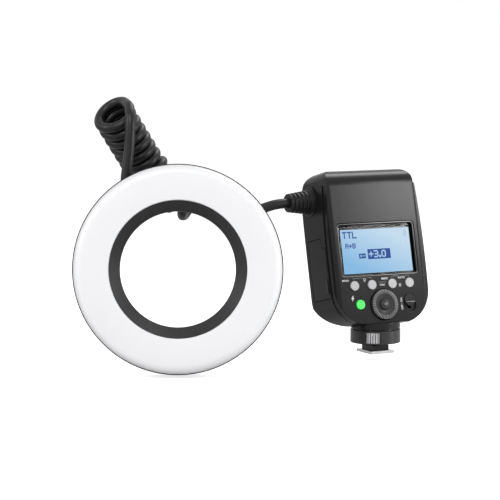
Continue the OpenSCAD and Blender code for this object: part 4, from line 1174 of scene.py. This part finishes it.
# %% Word on the domed button
set_word = words("word_set", "SET", 0, 0, 1.9)
for point in set_word.data.vertices:
    point.co.z += dome_middle + math.sqrt(DOME_R ** 2 - point.co.x ** 2 - point.co.y ** 2)
print_on(set_word, ink_grey, "set_button")
print("put a word on the dome")

# %% [markdown]
# Pieces inside the housings can be seen in poses and cut-open views, so they get finishes too: silver behind
# clear tubes, cream lamps, green boards and a dark blue capacitor.

# %% Inner pieces
tube_glass = clear("tube_glass", (0.96, 0.98, 0.98), 0.04)
softened("ring_reflector", "light_tray", silver, 0)
softened("flash_tubes", "tube_pair", tube_glass, 0)
softened("modelling_lamps", "focus_lamps", lamp_cream, 0.15)
softened("ring_board", "ring_circuit", board_green, 0)
softened("main_board", "unit_circuit", board_green, 0)
softened("capacitor", "storage_capacitor", sleeve_blue, 0.3)
stand_ins = [o.get("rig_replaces") or "" for o in bpy.data.objects]
left_over = [name for name in NODES if not any(name in names for names in stand_ins)]
print("CAD nodes still shown:", left_over)

# %% [markdown]
# The floor is a pale plane and the background is white. Seen by the camera, the floor adds a little light of
# its own, so it runs into the background without an edge and still takes the shadow.

# %% Floor
FLOOR_DROP = 0.0006
FLOOR_SIZE = 40
FLOOR_LIFT = 0.78
bpy.ops.mesh.primitive_plane_add(size=FLOOR_SIZE, location=(0, 0, CAD_LOW.z - FLOOR_DROP))
floor = bpy.context.object
floor.name = "floor"
floor_white = bpy.data.materials.new("floor_white")
floor_white.use_nodes = True
tree = floor_white.node_tree
shader = tree.nodes["Principled BSDF"]
shader.inputs["Base Color"].default_value = (0.8, 0.8, 0.8, 1)
shader.inputs["Roughness"].default_value = 0.9
shader.inputs["Specular IOR Level"].default_value = 0.0
shader.inputs["Emission Color"].default_value = (1, 1, 1, 1)
seen = tree.nodes.new("ShaderNodeLightPath")
lift = tree.nodes.new("ShaderNodeMath")
lift.operation = "MULTIPLY"
lift.inputs[1].default_value = FLOOR_LIFT
tree.links.new(seen.outputs["Is Camera Ray"], lift.inputs[0])
tree.links.new(lift.outputs["Value"], shader.inputs["Emission Strength"])
dress(floor, floor_white)
print("the floor lies", FLOOR_DROP / MM, "mm under the object")

# %% [markdown]
# Seen by the camera, in a mirror or through glass the world is plain white. All else gets a weaker, even
# light from it, so that the lamps can still shape the object.

# %% Light of the world
WORLD_LIGHT = 0.33
world = bpy.data.worlds.new("studio")
bpy.context.scene.world = world
world.use_nodes = True
tree = world.node_tree
paths = tree.nodes.new("ShaderNodeLightPath")
most = paths.outputs["Is Camera Ray"]
for kind in ("Is Glossy Ray", "Is Transmission Ray"):
    either = tree.nodes.new("ShaderNodeMath")
    either.operation = "MAXIMUM"
    tree.links.new(most, either.inputs[0])
    tree.links.new(paths.outputs[kind], either.inputs[1])
    most = either.outputs["Value"]
level = tree.nodes.new("ShaderNodeMapRange")
level.inputs["To Min"].default_value = WORLD_LIGHT
level.inputs["To Max"].default_value = 1.0
tree.links.new(most, level.inputs["Value"])
tree.links.new(level.outputs["Result"], tree.nodes["Background"].inputs["Strength"])
tree.nodes["Background"].inputs["Color"].default_value = (1, 1, 1, 1)
bpy.context.scene.view_settings.view_transform = "Standard"
print("the world gives", WORLD_LIGHT, "of white")

# %% [markdown]
# Soft round lamps do the rest. A large one faces the diffuser, a small near one puts a sheen on the panel,
# and others brighten the crown, the left edges and the foot.

# %% Soft lamps
for name, place, aim, size, watts in [
    ("key_lamp", (-0.9, -0.9, 1.1), (-0.08, 0, 0.07), 0.7, 11),
    ("panel_lamp", (0.176, -0.198, 0.196), (0.03, 0, 0.115), 0.1, 0.5),
    ("crown_lamp", (0.5, 0.28, 0.95), (0, 0.02, 0.12), 0.4, 4),
    ("edge_lamp", (-1.25, 0.2, 0.6), (0, 0, 0.06), 0.3, 4),
    ("foot_lamp", (0.9, -0.75, 0.08), (0.01, 0, 0.02), 0.2, 2),
]:
    lamp = bpy.data.lights.new(name, "AREA")
    lamp.shape = "DISK"
    lamp.size = size
    lamp.energy = watts
    stand = bpy.data.objects.new(name, lamp)
    stand.location = place
    stand.rotation_euler = (Vector(aim) - Vector(place)).to_track_quat("-Z", "Y").to_euler()
    stand.visible_camera = False
    bpy.context.collection.objects.link(stand)
print("lit by", len(bpy.data.lights), "lamps and the world")
